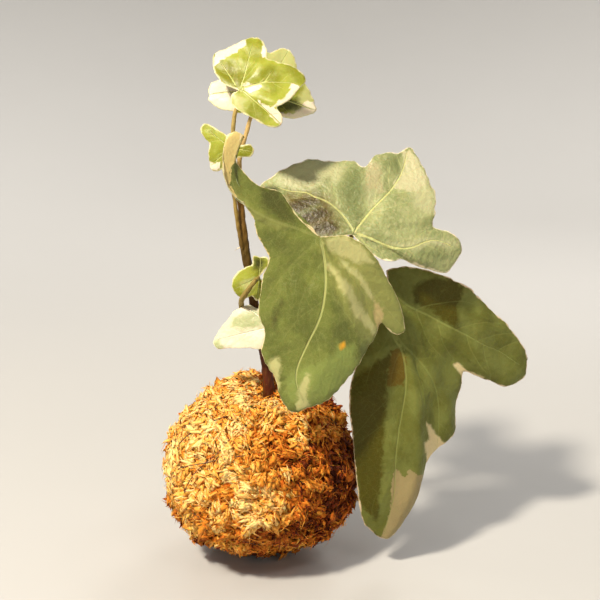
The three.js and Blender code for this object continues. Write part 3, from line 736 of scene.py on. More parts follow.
SIDE_VEINS = 4  # to each side of a long main vein
LONG_VEIN = 50  # a main vein from this length on has all of them
SIDE_ANGLE = math.radians(46)
SIDE_FIRST = 0.6  # from the base to the first side vein, in gaps between them
SIDE_SHIFT = 0.45  # the ones on one side leave this much further out
SIDE_UNEVEN = 0.6
SIDE_REACH = 0.42  # of the main vein's length, for the side vein nearest to the base
SIDE_SHORTER = 0.55  # share of that lost by one at the tip
SIDE_STEPS = 7
SIDE_BEND = math.radians(3.5)  # at each step, towards the main vein's tip
SIDE_WANDER = math.radians(16)


def side_veins(vein, random):
    """Curved twigs that leave a main vein left and right in turn."""
    length = np.linalg.norm(np.diff(vein, axis=0), axis=1).sum()
    count = max(2, round(SIDE_VEINS * min(1, length / LONG_VEIN)))
    last = len(vein) - 1
    twigs = []
    for k in range(count):
        for side in (-1, 1):
            gaps = k + SIDE_FIRST + SIDE_SHIFT * (side > 0) + SIDE_UNEVEN * random.random()
            share = gaps / (count + 2 * SIDE_FIRST)
            i = min(int(share * last), last - 1)
            heading = math.atan2(*(vein[i + 1] - vein[i])[::-1]) + side * SIDE_ANGLE
            spot = vein[i] + (vein[i + 1] - vein[i]) * (share * last - i)
            step = length * SIDE_REACH * (1 - SIDE_SHORTER * share) / SIDE_STEPS
            twig = [spot]
            for _ in range(SIDE_STEPS):
                spot = spot + step * np.array([math.cos(heading), math.sin(heading)])
                heading -= side * SIDE_BEND + SIDE_WANDER * (random.random() - 0.5)
                twig.append(spot)
            twigs.append(np.array(twig))
    return twigs


drawn_veins = sum(len(leaf["veins"]) for leaf in LEAVES.values())
drawn_marks = sum(len(kind) for leaf in LEAVES.values() for kind in leaf["marks"].values())
print(drawn_veins, "main veins and", drawn_marks, "marks are drawn on the leaves")

# %% A mesh piece
def make_piece(name, corners, faces, material, slot, **fields):
    """A mesh from corners in mm, with fields of numbers stored at its corners."""
    mesh = bpy.data.meshes.new(name)
    corners = np.asarray(corners, np.float32) * MM
    faces = np.asarray(faces, np.int32)
    mesh.vertices.add(len(corners))
    mesh.vertices.foreach_set("co", corners.ravel())
    mesh.loops.add(faces.size)
    mesh.loops.foreach_set("vertex_index", faces.ravel())
    mesh.polygons.add(len(faces))
    mesh.polygons.foreach_set("loop_start", np.arange(0, faces.size, faces.shape[1], dtype=np.int32))
    mesh.polygons.foreach_set("use_smooth", np.full(len(faces), True))
    mesh.update(calc_edges=True)
    for field, values in fields.items():
        values = np.asarray(values, np.float32)
        kind, key = ("FLOAT_VECTOR", "vector") if values.ndim == 2 else ("FLOAT", "value")
        mesh.attributes.new(field, kind, "POINT").data.foreach_set(key, values.ravel())
    mesh.materials.append(material)
    piece = bpy.data.objects.new(name, mesh)
    bpy.context.scene.collection.objects.link(piece)
    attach(piece, "root")
    print(f"{name}: {len(corners)} corners, {len(faces) * (faces.shape[1] - 2)} triangles")
    return piece


# %% [markdown]
# ## Leaf finishes
# All eight blades share one recipe. It starts with two greens that drift into each other, then
# lays on the marks in seven kinds. A light kind and a tinge have wide soft edges: the light kind
# on the front leaf's right half is partly painted sheen, and the tinge is fresh green on the front
# leaf, brown on the upper right one, where it is partly painted shadow of the front leaf, and
# olive on the young ones. Sage, tan and cream follow, ever sharper, then deep green, which is
# painted shade on the fold of the front leaf's hooked lobe, on the lower right leaf where the
# front and upper leaves shade it, on the top back leaf under the top front one, and on the fold
# of the small yellow leaf. Spots come last and are small: an orange fleck in front, dark stripes
# across the brown that are partly painted shadow, bright cream on the lower right leaf. The edge
# of each mark is its distance field torn by noise, and cream is sharpest, because there a layer
# of green cells ends.
#
# Veins are pale lines in a shallow groove, and the margin is a thin uneven rim of cream. The old
# leaves are satin, the young ones at the top are glossy and much more yellow.

# %% Leaf recipe
MARKS = {  # how soft the edge is, and how far noise tears it, in mm
    "light": (2.6, 3.0), "tinge": (1.6, 3.0), "sage": (0.8, 2.2), "tan": (0.5, 1.8),
    "cream": (0.2, 1.7), "deep": (1.2, 2.2), "spot": (0.6, 0.8),
}
LEAF_NOISE = {  # waves per mm, detail and distortion
    "cloud": (0.10, 3.0), "mottle": (0.6, 4.0, 0.5), "tear": (0.36, 5.0, 0.7), "dust": (2.4, 3.0),
    "fray": (0.3, 3.0), "bubbles": (0.55, 2.0),
}
DUST_SHARE = 0.08
VEIN_EDGE = (0.55, 1.35)  # a vein's line fades between these, in half line widths
TWIG_EDGE = (0.5, 1.6)
VEIN_REACH = (1.1, 1.6)  # past this far in mm no line is drawn
TWIG_REACH = (0.9, 1.4)
VEIN_SHARE = 0.9  # of the vein's colour on its line
TWIG_SHARE = 0.5
NET = (0.5, 0.05)  # the finest net of veins: cells per mm, and half the width of its lines in cells
NET_SHARE = 0.10
RIM_FRAY = 2.4  # how far noise tears the rim, in rim widths
RIM_EDGE = (1.2, 0.4)  # how far inside its torn line the rim is full, and gone, in rim widths
RIM_SHARE = 0.9
UNDER_SHARE = 0.55  # of the paler colour on the underside
LEAF_RELIEF = 0.32  # mm, for a height of 1
RELIEF = {"bubbles": 1.3, "mottle": 0.35, "vein": -0.9, "twig": -0.3}
ROUGHER = (-0.05, 0.12)  # the mottle changes the roughness by this much


def leaf_finish(
    name, greens, marks, vein, rim, under,
    gloss=0.42, shine=0.36, rim_width=0.6, fleck=0.2, wet=1.0, soft=1.0,
):
    """fleck: share of sage in the mottle. wet: strength of the bubbles. soft: widens every mark's edge."""
    leaf = Recipe(name).set(Specular_IOR_Level=shine, Subsurface_Weight=0.08, Subsurface_Scale=0.0015)
    plane = leaf.read("plane", "Vector")
    cloud, mottle, tear, dust, fray, bubbles = (leaf.noise(plane, *kind) for kind in LEAF_NOISE.values())
    tone = leaf.blend(leaf.step(cloud, 0.38, 0.62), *greens)
    tone = leaf.blend(leaf.step(mottle, 0.45, 0.7, 0.0, fleck), tone, marks["sage"])
    for kind, (edge, torn) in MARKS.items():
        if kind in marks:
            depth = leaf.sum(tear, torn * 2, leaf.read(kind))
            tone = leaf.blend(leaf.step(depth, torn - edge * soft, torn + edge * soft), tone, marks[kind])
    tone = leaf.blend(leaf.step(dust, 0.4, 0.75, 0.0, DUST_SHARE), tone, marks["sage"])

    def drawn(attribute, edge, reach):
        """1 on the lines of an attribute, 0 off them."""
        near, side, strength = leaf.parts(attribute)
        line = leaf.step(leaf.maths("ABSOLUTE", side), *edge, 1.0, 0.0)
        line = leaf.maths("MULTIPLY", line, leaf.step(near, *reach, 1.0, 0.0))
        return leaf.maths("MULTIPLY", line, strength)

    twig = drawn("twig", TWIG_EDGE, TWIG_REACH)
    line = drawn("vein", VEIN_EDGE, VEIN_REACH)
    tone = leaf.blend(leaf.step(leaf.cells(plane, NET[0]), 0.0, NET[1], NET_SHARE, 0.0), tone, vein)
    tone = leaf.blend(leaf.sum(twig, TWIG_SHARE), tone, vein)
    tone = leaf.blend(leaf.sum(line, VEIN_SHARE), tone, vein)
    ragged = leaf.sum(fray, -RIM_FRAY * rim_width, leaf.read("rim"))
    fade = [-width * rim_width for width in RIM_EDGE]
    tone = leaf.blend(leaf.step(ragged, *fade, RIM_SHARE, 0.0), tone, rim)
    tone = leaf.blend(leaf.sum(leaf.read("under"), UNDER_SHARE), tone, under)

    relief = leaf.sum(mottle, RELIEF["mottle"] * wet, leaf.sum(line, RELIEF["vein"]))
    relief = leaf.sum(bubbles, RELIEF["bubbles"] * wet, relief)
    relief = leaf.sum(twig, RELIEF["twig"], relief)
    roughness = leaf.step(mottle, 0.2, 0.8, gloss + ROUGHER[0], gloss + ROUGHER[1])
    return leaf.finish(tone, roughness, relief, LEAF_RELIEF)


FINISHES = {
    "blade_front": leaf_finish(
        "front_leaf", greens=((0.086, 0.104, 0.012), (0.128, 0.152, 0.022)), fleck=0.06, soft=1.4, wet=0.7,
        marks=dict(
            # light on this leaf is partly painted sheen on its right half
            light=(0.24, 0.25, 0.058), tinge=(0.19, 0.235, 0.046), sage=(0.43, 0.415, 0.165),
            # deep on this leaf is the painted shade of the hooked lobe's fold
            tan=(0.42, 0.33, 0.13), cream=(0.54, 0.42, 0.15), deep=(0.058, 0.065, 0.006),
            spot=(0.65, 0.32, 0.01),
        ),
        vein=(0.40, 0.41, 0.14), rim=(0.70, 0.58, 0.32), under=(0.33, 0.36, 0.20), rim_width=0.4,
    ),
    "blade_upper_right": leaf_finish(
        "upper_leaf", greens=((0.20, 0.228, 0.084), (0.29, 0.315, 0.130)), fleck=0.55, soft=2.6, wet=1.5,
        marks=dict(
            # the brown tinge and the dark spots on this leaf are partly painted shadow of the front leaf
            tinge=(0.090, 0.064, 0.012), sage=(0.37, 0.37, 0.19), tan=(0.36, 0.33, 0.17),
            cream=(0.44, 0.42, 0.24), deep=(0.145, 0.172, 0.058), spot=(0.040, 0.026, 0.004),
        ),
        vein=(0.52, 0.53, 0.20), rim=(0.82, 0.72, 0.50), under=(0.38, 0.40, 0.26), rim_width=0.7,
    ),
    "blade_lower_right": leaf_finish(
        "lower_leaf", greens=((0.103, 0.109, 0.018), (0.135, 0.147, 0.032)), fleck=0.16, wet=0.8, shine=0.13,
        marks=dict(
            sage=(0.18, 0.19, 0.06), tan=(0.104, 0.068, 0.006), cream=(0.28, 0.22, 0.100),
            # deep on this leaf is painted shadow of the leaves above and in front
            deep=(0.055, 0.048, 0.002), spot=(0.58, 0.48, 0.26),
        ),
        vein=(0.23, 0.25, 0.07), rim=(0.70, 0.55, 0.36), under=(0.24, 0.26, 0.12), rim_width=0.8,
    ),
    "blade_top_front": leaf_finish(
        "top_leaf", greens=((0.19, 0.205, 0.010), (0.30, 0.325, 0.034)), gloss=0.36, rim_width=0.8, wet=0.3,
        marks=dict(
            tinge=(0.15, 0.15, 0.006), sage=(0.40, 0.41, 0.15), cream=(0.70, 0.62, 0.47),
            # deep here is painted shade: the top front leaf's shadow on the top back leaf, and the yellow
            # leaf's fold
            deep=(0.045, 0.050, 0.006),
        ),
        vein=(0.48, 0.50, 0.15), rim=(0.70, 0.65, 0.38), under=(0.34, 0.38, 0.15), fleck=0.10, soft=1.6,
        shine=0.22,
    ),
    "blade_cream": leaf_finish(
        "cream_leaf", greens=((0.60, 0.54, 0.38), (0.68, 0.61, 0.46)), fleck=0.1, soft=1.6, wet=0.6,
        marks=dict(sage=(0.36, 0.39, 0.19)), rim_width=0.5,
        vein=(0.82, 0.79, 0.58), rim=(0.80, 0.74, 0.50), under=(0.62, 0.60, 0.40),
    ),
}
for name in ("blade_top_back", "blade_young", "blade_yellow"):
    FINISHES[name] = FINISHES["blade_top_front"]
YOUNG = ("blade_top_front", "blade_top_back", "blade_young", "blade_yellow")
SLOTS = {name: "young_leaf" for name in YOUNG} | {"blade_cream": "cream_leaf"}
print(len(set(FINISHES.values())), "leaf finishes")

# %% [markdown]
# ## Making a blade
# The fan of ribs gives the middle surface. It is copied half a thickness up and down, with the
# relief added: the blade bulges up between the veins, waves gently, thins out at the margin, and
# has a ridge under each vein. A small leaf has all of this smaller, by its scale. Both copies
# are closed along the border, so each blade is one solid skin. Corners are spread evenly along
# the margin, because a hooked lobe would otherwise take most of them.

# %% Blades
BLADE_THICKNESS = 0.45
LARGE_LEAF = 40  # longest rib from which a leaf counts as large
FINE_STEP = 1.0  # distance between corners along the margin of a large leaf
SMALL_STEP = 0.35  # share of that on the smallest leaf
ROW_STEP = 1.4  # distance between rows of corners, in steps along the margin
ROW_POWER = 0.8  # below 1 the rows stand closer towards the margin
MARGIN_SAMPLES = 3000
FEWEST_COLUMNS = 40
MARGIN_WAVES = [(0.35, 9, 0), (0.3, 3.6, 20)]  # height, length, and what is added to the seed
VEIN_POINTS = 22
PLANE_GAP = 40  # between the leaves in the noise, so that no two are alike
VEIN_WIDTHS = (0.95, 0.35)  # at a vein's foot and at its tip
TWIG_WIDTHS = (0.45, 0.2)
LEAST_WIDTH = 0.1
BULGE = (0.5, 3.6)  # between main veins: height, and how far from the vein it is reached
TWIG_BULGE = (0.16, 1.6)
SWELL = (0.5, 17)  # of the whole leaf: height and length of its waves
MARGIN_DIP = (0.25, 1.2)  # depth, and how far in from the margin it ends
MARGIN_THICKNESS = (0.4, 0.7)  # share of the full thickness, and how far in it grows
UNDER_RIDGE = (0.22, 0.8)


def wave(places, length, seed):
    """A soft unevenness between about -1 and 1 that repeats nowhere on the object."""
    random = np.random.default_rng(seed)
    total = np.zeros(places.shape[:-1])
    for _ in range(6):
        heading = unit(random.normal(size=places.shape[-1]))
        pace = 2 * math.pi / (length * random.uniform(0.7, 1.5))
        total += np.sin(places @ heading * pace + random.uniform(0, 2 * math.pi))
    return total / 3


def even_margin(leaf, step):
    """Margin rows [rib, angle, reach] a step apart along the edge of the blade."""
    rows = smooth_curve(leaf["margin"], MARGIN_SAMPLES)
    edge = on_ribs(leaf, *rows.T, 1.0)[0]
    length = np.concatenate([[0], np.linalg.norm(np.diff(edge, axis=0), axis=1).cumsum()])
    at = np.linspace(0, length[-1], max(int(length[-1] / step), FEWEST_COLUMNS))
    return np.column_stack([np.interp(at, length, column) for column in rows.T])


def fan_faces(rows, columns):
    """Corner numbers of a fan: corner 0 is the base, then rows of points out to the margin."""
    first = np.arange(columns - 1) + 1
    faces = [np.stack([0 * first, first, first + 1], 1)]
    for row in range(rows - 1):
        a = first + row * columns
        faces.append(np.stack([a, a + columns, a + columns + 1], 1))
        faces.append(np.stack([a, a + columns + 1, a + 1], 1))
    border = [0] + [1 + row * columns for row in range(rows)]
    border += list(range(2 + (rows - 1) * columns, 1 + rows * columns))
    border += [columns * row for row in range(rows - 1, 0, -1)]
    return np.concatenate(faces), np.array(border)


def line_widths(widths, scale):
    return [width * scale + LEAST_WIDTH for width in widths]


def twice(*columns):
    """The same field for the upper and the lower face of a blade."""
    field = np.column_stack(columns) if len(columns) > 1 else columns[0]
    return np.concatenate([field, field])


def make_blade(name, leaf, seed):
    random = np.random.default_rng(seed)
    size = max(row[2] for row in leaf["margin"])
    scale = min(1, size / LARGE_LEAF)
    step = FINE_STEP * (SMALL_STEP + (1 - SMALL_STEP) * scale)
    margin = even_margin(leaf, step)
    rib, angle, reach = margin.T
    outline = polar(margin[:, 1:])
    for height, length, shift in MARGIN_WAVES:
        reach = reach + height * scale * wave(outline, length * scale, seed + shift)
    rows = int(size / step / ROW_STEP)
    t = np.linspace(0, 1, rows + 1)[1:, None] ** ROW_POWER
    grid, flat = on_ribs(leaf, rib[None], angle[None], reach[None], t)
    normal = unit(np.cross(np.gradient(grid, axis=1), np.gradient(grid, axis=0)))
    if (normal[rows // 2] @ unit(leaf["face"])).mean() < 0:
        normal = -normal
    places = np.vstack([[leaf["base"]], grid.reshape(-1, 3)])
    normals = np.vstack([[unit(leaf["face"])], normal.reshape(-1, 3)])
    plane = np.vstack([[0, 0], flat.reshape(-1, 2)])

    veins = [smooth_curve(polar(vein), VEIN_POINTS) for vein in leaf["veins"]]
    twigs, twig_shown = [], []
    for vein, share in zip(veins, leaf["twigs"]):
        grown = side_veins(vein, random)
        twigs += grown
        twig_shown += [share] * len(grown)
    bold = to_lines(plane, veins, line_widths(VEIN_WIDTHS, scale), leaf["shown"])
    fine = to_lines(plane, twigs, line_widths(TWIG_WIDTHS, scale), twig_shown)
    vein_near, twig_near = bold[0], fine[0]
    edge = np.vstack([flat[::4, 0][::-1], flat[-1, ::2], flat[::4, -1]])
    to_rim = to_lines(plane, [edge])[0]

    relief = SWELL[0] * scale * wave(plane, SWELL[1] * scale, seed + 1)
    for (height, width), near in ((BULGE, vein_near), (TWIG_BULGE, twig_near)):
        relief += height * scale * (1 - np.exp(-((near / (width * scale)) ** 2)))
    relief -= MARGIN_DIP[0] * np.exp(-to_rim / MARGIN_DIP[1])
    thickness, inset = MARGIN_THICKNESS
    half = BLADE_THICKNESS / 2 * (1 - (1 - thickness) * np.exp(-to_rim / inset))
    ridge = UNDER_RIDGE[0] * scale * np.exp(-((vein_near / UNDER_RIDGE[1]) ** 2))
    top = places + normals * (relief + half)[:, None]
    low = places + normals * (relief - half - ridge)[:, None]

    faces, ring = fan_faces(rows, len(rib))
    count = len(places)
    after = np.roll(ring, -1)
    wall = np.vstack([
        np.stack([ring, ring + count, after + count], 1), np.stack([ring, after + count, after], 1),
    ])
    a, b, c = (places[faces[:, k]] for k in range(3))
    if (np.cross(b - a, c - a) * normals[faces[:, 1]]).sum() < 0:
        faces, wall = faces[:, ::-1], wall[:, ::-1]
    faces = np.vstack([faces, faces[:, ::-1] + count, wall])
    marks = {kind: twice(inside(plane, leaf["marks"].get(kind, []))) for kind in MARKS}
    layer = np.full(count, PLANE_GAP * seed)
    blade = make_piece(
        name + "_veined", np.vstack([top, low]), faces, FINISHES[name], SLOTS.get(name, "green_leaf"),
        vein=twice(*bold), twig=twice(*fine), plane=twice(plane[:, 0], plane[:, 1], layer),
        rim=twice(to_rim), under=np.repeat([0.0, 1.0], count), **marks,
    )
    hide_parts(name)


for seed, (name, leaf) in enumerate(LEAVES.items(), 3):
    make_blade(name, leaf, seed)

# %% [markdown]
# ## Stem and stalks
# The ivy stem is reddish brown and woody where it leaves the moss, olive further up, and tan
# and soft at the top. The leaf stalks are paler and grow out of it with small swellings, so each
# corner stores how far it is from the middle of the main stem.
#
# The CAD stem has eight flat sides. It could be modelled again as round tubes, but a voxel
# remesh of a copy is simpler: it rounds the sides and melts the stalks into the stem as grown
# wood does. Small bumps along the bark are then pushed out of the surface.

# %% Stem
STEM_TONES = [  # from the foot of the stem, where it is woody, to its soft top
    (0.0, (0.060, 0.009, 0.001)), (0.16, (0.085, 0.016, 0.002)), (0.34, (0.070, 0.028, 0.003)),
    (0.55, (0.072, 0.043, 0.005)), (0.78, (0.22, 0.110, 0.020)), (1.0, (0.54, 0.37, 0.14)),
]
STEM_HEIGHTS = (72, 192)  # of the first and the last of these tones
STALK_TONE = (0.34, 0.26, 0.07)
OFF_STEM = (2.2, 4.5)  # distance from the stem's middle over which a stalk takes its own tone
BARK_DARK = (0.17, 0.09, 0.018)
BARK_SPECK = (0.40, 0.27, 0.10)
FIBRE = (1400, 1400, 190)  # waves per metre across the stem and along it
BARK_RELIEF = 0.25
STEM_VOXEL = 0.32
STEM_SMOOTHING = 4
STEM_LINE = [  # the middle of the main stem
    (4.4, -6, 72), (3.4, -6, 84), (0.7, -5.5, 99), (-1.6, -5, 111), (-3.6, -4.5, 125.5), (-5.2, -4, 139),
    (-6.8, -3, 160), (-3.9, -2.6, 175.5), (0, 2, 190),
]
BARK_SKIN = 0.08  # added all over, to make up for what the smoothing takes
FINE_BUMPS = (0.10, 1.6)  # height and length
COARSE_BUMPS = (0.08, 5)


def stem_finish():
    bark = Recipe("stem_bark").set(Specular_IOR_Level=0.22)
    place = bark.place()
    height = bark.node("ShaderNodeSeparateXYZ", {0: place}).outputs["Z"]
    fibre = bark.node("ShaderNodeMapping", {"Vector": place, "Scale": FIBRE}).outputs[0]
    streak = bark.noise(fibre, 1.0, 5.0)
    speck = bark.noise(place, 900.0, 3.0)
    level = bark.sum(streak, 12 * MM, height)
    tone = bark.ramp(bark.step(level, *(z * MM for z in STEM_HEIGHTS)), STEM_TONES)
    tone = bark.blend(bark.step(bark.read("off_stem"), *OFF_STEM, 0.0, 0.65), tone, STALK_TONE)
    tone = bark.blend(bark.step(streak, 0.45, 0.75, 0.0, 0.3), tone, BARK_DARK)
    tone = bark.blend(bark.step(speck, 0.66, 0.76, 0.0, 0.3), tone, BARK_SPECK)
    relief = bark.sum(speck, 0.5, streak)
    return bark.finish(tone, bark.step(streak, 0.2, 0.8, 0.42, 0.62), relief, BARK_RELIEF)


def rounded_copy(node, voxel, smoothing):
    """Corners, normals and faces of a CAD node after a voxel remesh and some smoothing."""
    copy = bpy.data.objects.new("rounded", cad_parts[node].data.copy())
    bpy.context.scene.collection.objects.link(copy)
    remesh = copy.modifiers.new("voxels", "REMESH")
    remesh.mode = "VOXEL"
    remesh.voxel_size = voxel * MM
    soften = copy.modifiers.new("soften", "SMOOTH")
    soften.factor = 0.5
    soften.iterations = smoothing
    seen = copy.evaluated_get(bpy.context.evaluated_depsgraph_get()).to_mesh()
    corners = np.empty(len(seen.vertices) * 3)
    normals = np.empty(len(seen.vertices) * 3)
    faces = np.empty(len(seen.polygons) * 4, int)
    seen.vertices.foreach_get("co", corners)
    seen.vertices.foreach_get("normal", normals)
    seen.polygons.foreach_get("vertices", faces)
    bpy.data.objects.remove(copy)
    return corners.reshape(-1, 3) / MM, normals.reshape(-1, 3), faces.reshape(-1, 4)


def make_stem():
    corners, normals, faces = rounded_copy("ivy_stem", STEM_VOXEL, STEM_SMOOTHING)
    drawn_out = corners * [1, 1, 0.35]
    bumps = FINE_BUMPS[0] * wave(drawn_out, FINE_BUMPS[1], 21)
    bumps += COARSE_BUMPS[0] * wave(corners, COARSE_BUMPS[1], 22)
    x, y, height = np.array(STEM_LINE).T
    off_stem = [corners[:, k] - np.interp(corners[:, 2], height, line) for k, line in enumerate((x, y))]
    corners = corners + normals * (BARK_SKIN + bumps)[:, None]
    stem = make_piece("ivy_stem_bark", corners, faces, stem_finish(), "stem", off_stem=np.hypot(*off_stem))
    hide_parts("ivy_stem")


make_stem()

# %% [markdown]
# ## Climbing roots
# Ivy climbs with short pale rootlets that grow straight out of its bark. Only a few show on a
# plant as young as this. Each is a thin curved cone with its foot sunk into the stem. The foot
# is the point of the bark nearest to a place beside it, so it sits well at any angle.

# %% Climbing roots
ROOTLETS = [  # a place beside the stem, and the length
    ((-14, -6, 131), 2.6), ((-8, -10, 70), 2.4), ((12, 2, 92), 2.0), ((-2, 8, 104), 1.8),
    ((8, 6, 79), 2.2), ((-12, 2, 146), 1.6), ((12, -12, 84), 1.6),
]
ROOTLET_RADIUS = 0.32
ROOTLET_SINK = 0.5  # how deep the foot goes into the bark
ROOTLET_BEND = 0.35  # of its length, sideways at the tip
ROOTLET_POINT = 0.1  # from the last ring to the tip


def rootlet_finish():
    root = Recipe("pale_rootlet").set(Roughness=0.7)
    grain = root.noise(root.place(), 1800.0, 2.0)
    return root.finish(root.blend(grain, (0.85, 0.74, 0.55), (0.55, 0.40, 0.22)), height=grain)


def make_rootlets(rings=6, sides=7):
    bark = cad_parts["ivy_stem"].data
    tree = BVHTree.FromPolygons([v.co for v in bark.vertices], [list(p.vertices) for p in bark.polygons])
    corners, faces = [], []
    for beside, length in ROOTLETS:
        foot = np.array(tree.find_nearest(Vector(beside) * MM)[0]) / MM
        way = unit(beside - foot)
        east = unit(np.cross(way, (0.2, 0.1, 1)))
        north = np.cross(way, east)
        first = len(corners)
        for t in np.linspace(0, 1, rings):
            middle = foot + way * (length * t - ROOTLET_SINK) + north * ROOTLET_BEND * length * t * t
            radius = ROOTLET_RADIUS * (1 - 0.8 * t)
            for turn in 2 * np.pi * np.arange(sides) / sides:
                corners.append(middle + radius * (math.cos(turn) * east + math.sin(turn) * north))
        tip = foot + way * (length - ROOTLET_SINK + ROOTLET_POINT) + north * ROOTLET_BEND * length
        corners += [foot - ROOTLET_SINK * way, tip]
        for k in range(sides):
            after = (k + 1) % sides
            for row in range(rings - 1):
                a, b = first + row * sides + k, first + row * sides + after
                faces += [(a, b, b + sides), (a, b + sides, a + sides)]
            last = first + (rings - 1) * sides
            faces += [(first + after, first + k, last + sides), (last + k, last + after, last + sides + 1)]
    make_piece("climbing_roots", corners, faces, rootlet_finish(), "stem")


make_rootlets()

# %% [markdown]
# ## The moss ball in tufts
# Dry sphagnum isn't an even fur. It lies in tufts some 5 mm across: strands of one tuft run the
# same way, neighbours run another way, and between them are gaps, painted dark as their shade.
# A displacement texture could give lumps but no loose edges, so the ball is built up in two
# steps. First some hundreds of tufts are spread over it, each with its own direction, height and
# tone. Then the dense mat and every flake ask which tuft they belong to.
#
# The outside follows the CAD ball: a ray from far outside towards the middle finds the surface
# in each direction.

# %% Tufts
BALL_MIDDLE = np.array([0.0, 0.0, 38.5])
BALL_RADIUS = 38.8
STEM_HOLE = (4.5, -6.0, 3.4)  # x, y and radius of the room around the stem
TUFTS = 460
TUFT_RISE = 3.2  # from the gap between tufts to the top of the highest
TUFT_SINK = 0.75  # share of that rise that lies below the CAD surface
TUFT_SLOPE = 3.2  # from a gap to the level top of a tuft
TUFT_HEIGHTS = (0.35, 1.0)  # of that rise
TUFT_FLOW = (1.4 * math.pi, 34)  # slow turn of the strands over the ball: radians, wavelength
TUFT_UNREST = 0.8  # radians from one tuft to the next
TUFT_SHADES = (0.08, 24)  # slow change of tone over the ball: tone, wavelength
TUFT_CONTRAST = 0.09  # from one tuft to the next
GOLDEN_TURN = math.pi * (3 - math.sqrt(5))
BALL_SCALE = 40  # turns directions into mm, near enough for the length of a wave over the ball
LYING = ((0.05, -0.86, -0.5), 30)  # low at the front the strands lie level: middle, degrees
CHUNK = 4000  # directions that are compared with all the tufts at once

moss_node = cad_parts["moss_wrap"].data
moss_tree = BVHTree.FromPolygons(
    [v.co for v in moss_node.vertices], [list(p.vertices) for p in moss_node.polygons]
)


def ball_radius(directions):
    """Distance in mm from the ball's middle to the CAD surface, for unit directions."""
    middle = Vector(BALL_MIDDLE * MM)
    found = []
    for direction in directions:
        towards = Vector(direction)
        hit = moss_tree.ray_cast(middle + towards * 0.1, -towards)[0]
        found.append((hit - middle).length / MM)
    return np.array(found)


def spread(count, random, unrest=0.9):
    """Even directions all over a sphere, each a little out of place."""
    i = np.arange(count) + 0.5
    height = 1 - 2 * i / count
    flat = np.sqrt(1 - height**2)
    turn = GOLDEN_TURN * i
    directions = np.column_stack([flat * np.cos(turn), flat * np.sin(turn), height])
    return unit(directions + random.normal(scale=unrest / math.sqrt(count), size=(count, 3)))


def nearness(directions, middle, degrees):
    """1 at a place on the ball and falling off around it."""
    angle = np.degrees(np.arccos(np.clip(directions @ unit(middle), -1, 1)))
    return np.exp(-((angle / degrees) ** 2))


tuft_random = np.random.default_rng(40)
tuft_places = spread(TUFTS, tuft_random, 1.8)
tuft_turns = TUFT_FLOW[0] * wave(tuft_places * BALL_SCALE, TUFT_FLOW[1], 41)
tuft_turns += tuft_random.normal(scale=TUFT_UNREST, size=TUFTS)
tuft_turns *= 1 - nearness(tuft_places, *LYING)
tuft_heights = tuft_random.uniform(*TUFT_HEIGHTS, TUFTS)
tuft_tones = tuft_random.normal(0, TUFT_CONTRAST, TUFTS)
tuft_tones += TUFT_SHADES[0] * wave(tuft_places * BALL_SCALE, TUFT_SHADES[1], 42)


def tuft_at(directions):
    """For each direction the nearest tuft, and 0 in the gap beside it up to 1 on its top."""
    tuft = np.empty(len(directions), int)
    top = np.empty(len(directions))
    for start in range(0, len(directions), CHUNK):
        part = slice(start, start + CHUNK)
        near = directions[part] @ tuft_places.T
        order = np.argpartition(-near, 1, axis=1)[:, :2]
        angle = np.arccos(np.clip(np.take_along_axis(near, order, 1), -1, 1)) * BALL_RADIUS
        first = angle.argmin(1)
        tuft[part] = np.take_along_axis(order, first[:, None], 1)[:, 0]
        top[part] = 1 - np.exp(-((np.abs(angle[:, 1] - angle[:, 0]) / TUFT_SLOPE) ** 1.4) * 2)
    return tuft, top


def moss_level(directions):
    """How far out the tops of the tufts are, with the CAD radius, the tuft and the place in it."""
    tuft, top = tuft_at(directions)
    radius = ball_radius(directions)
    return radius + TUFT_RISE * (top * tuft_heights[tuft] - TUFT_SINK), radius, tuft, top


print(TUFTS, "tufts, one for every", round(4 * math.pi * BALL_RADIUS**2 / TUFTS), "square mm")

# %% [markdown]
# ## Moss finish
# Each flake has its own tone between dark rust and pale straw, stored on its corners. Fine
# streaks along the strands and a slow blotch over the ball vary it further. Dry moss lets some
# light through, which lifts the orange in its shadows, so a little light scatters under the skin.
# The two noises lie around a half, so what they add on the whole is taken off again.

# %% Moss finish
MOSS_TONES = [
    (0.0, (0.045, 0.007, 0.001)), (0.16, (0.16, 0.026, 0.002)), (0.34, (0.45, 0.11, 0.007)),
    (0.54, (0.70, 0.24, 0.022)), (0.76, (0.88, 0.42, 0.075)), (1.0, (0.96, 0.63, 0.24)),
]
STREAKS = 0.20  # of the scale of tones
BLOTCHES = 0.34


def moss_finish():
    moss = Recipe("dry_moss").set(Specular_IOR_Level=0.15, Subsurface_Weight=0.25, Subsurface_Scale=0.001)
    place = moss.place()
    streak = moss.noise(place, 1500.0, 2.0)
    blotch = moss.noise(place, 90.0, 3.0)
    tone = moss.sum(streak, STREAKS, moss.read("tone"))
    tone = moss.sum(blotch, BLOTCHES, tone)
    colour = moss.ramp(moss.sum(tone, 1.0, -(STREAKS + BLOTCHES) / 2), MOSS_TONES)
    return moss.finish(colour, moss.step(streak, 0.2, 0.8, 0.6, 0.85), streak, 0.1)


dry_moss = moss_finish()
print("dry moss runs through", len(MOSS_TONES), "tones from rust to straw")

# %% [markdown]
# ## The mat under the flakes
# Under the loose flakes the moss is a dense brown mat, painted darker in the gaps between tufts
# than on their tops, as their shade. It is a shell around the soil with the hole that the stem
# leaves through, as in the CAD model. The hollow and the hole are cut with Booleans, which keeps
# the shell one closed mesh.

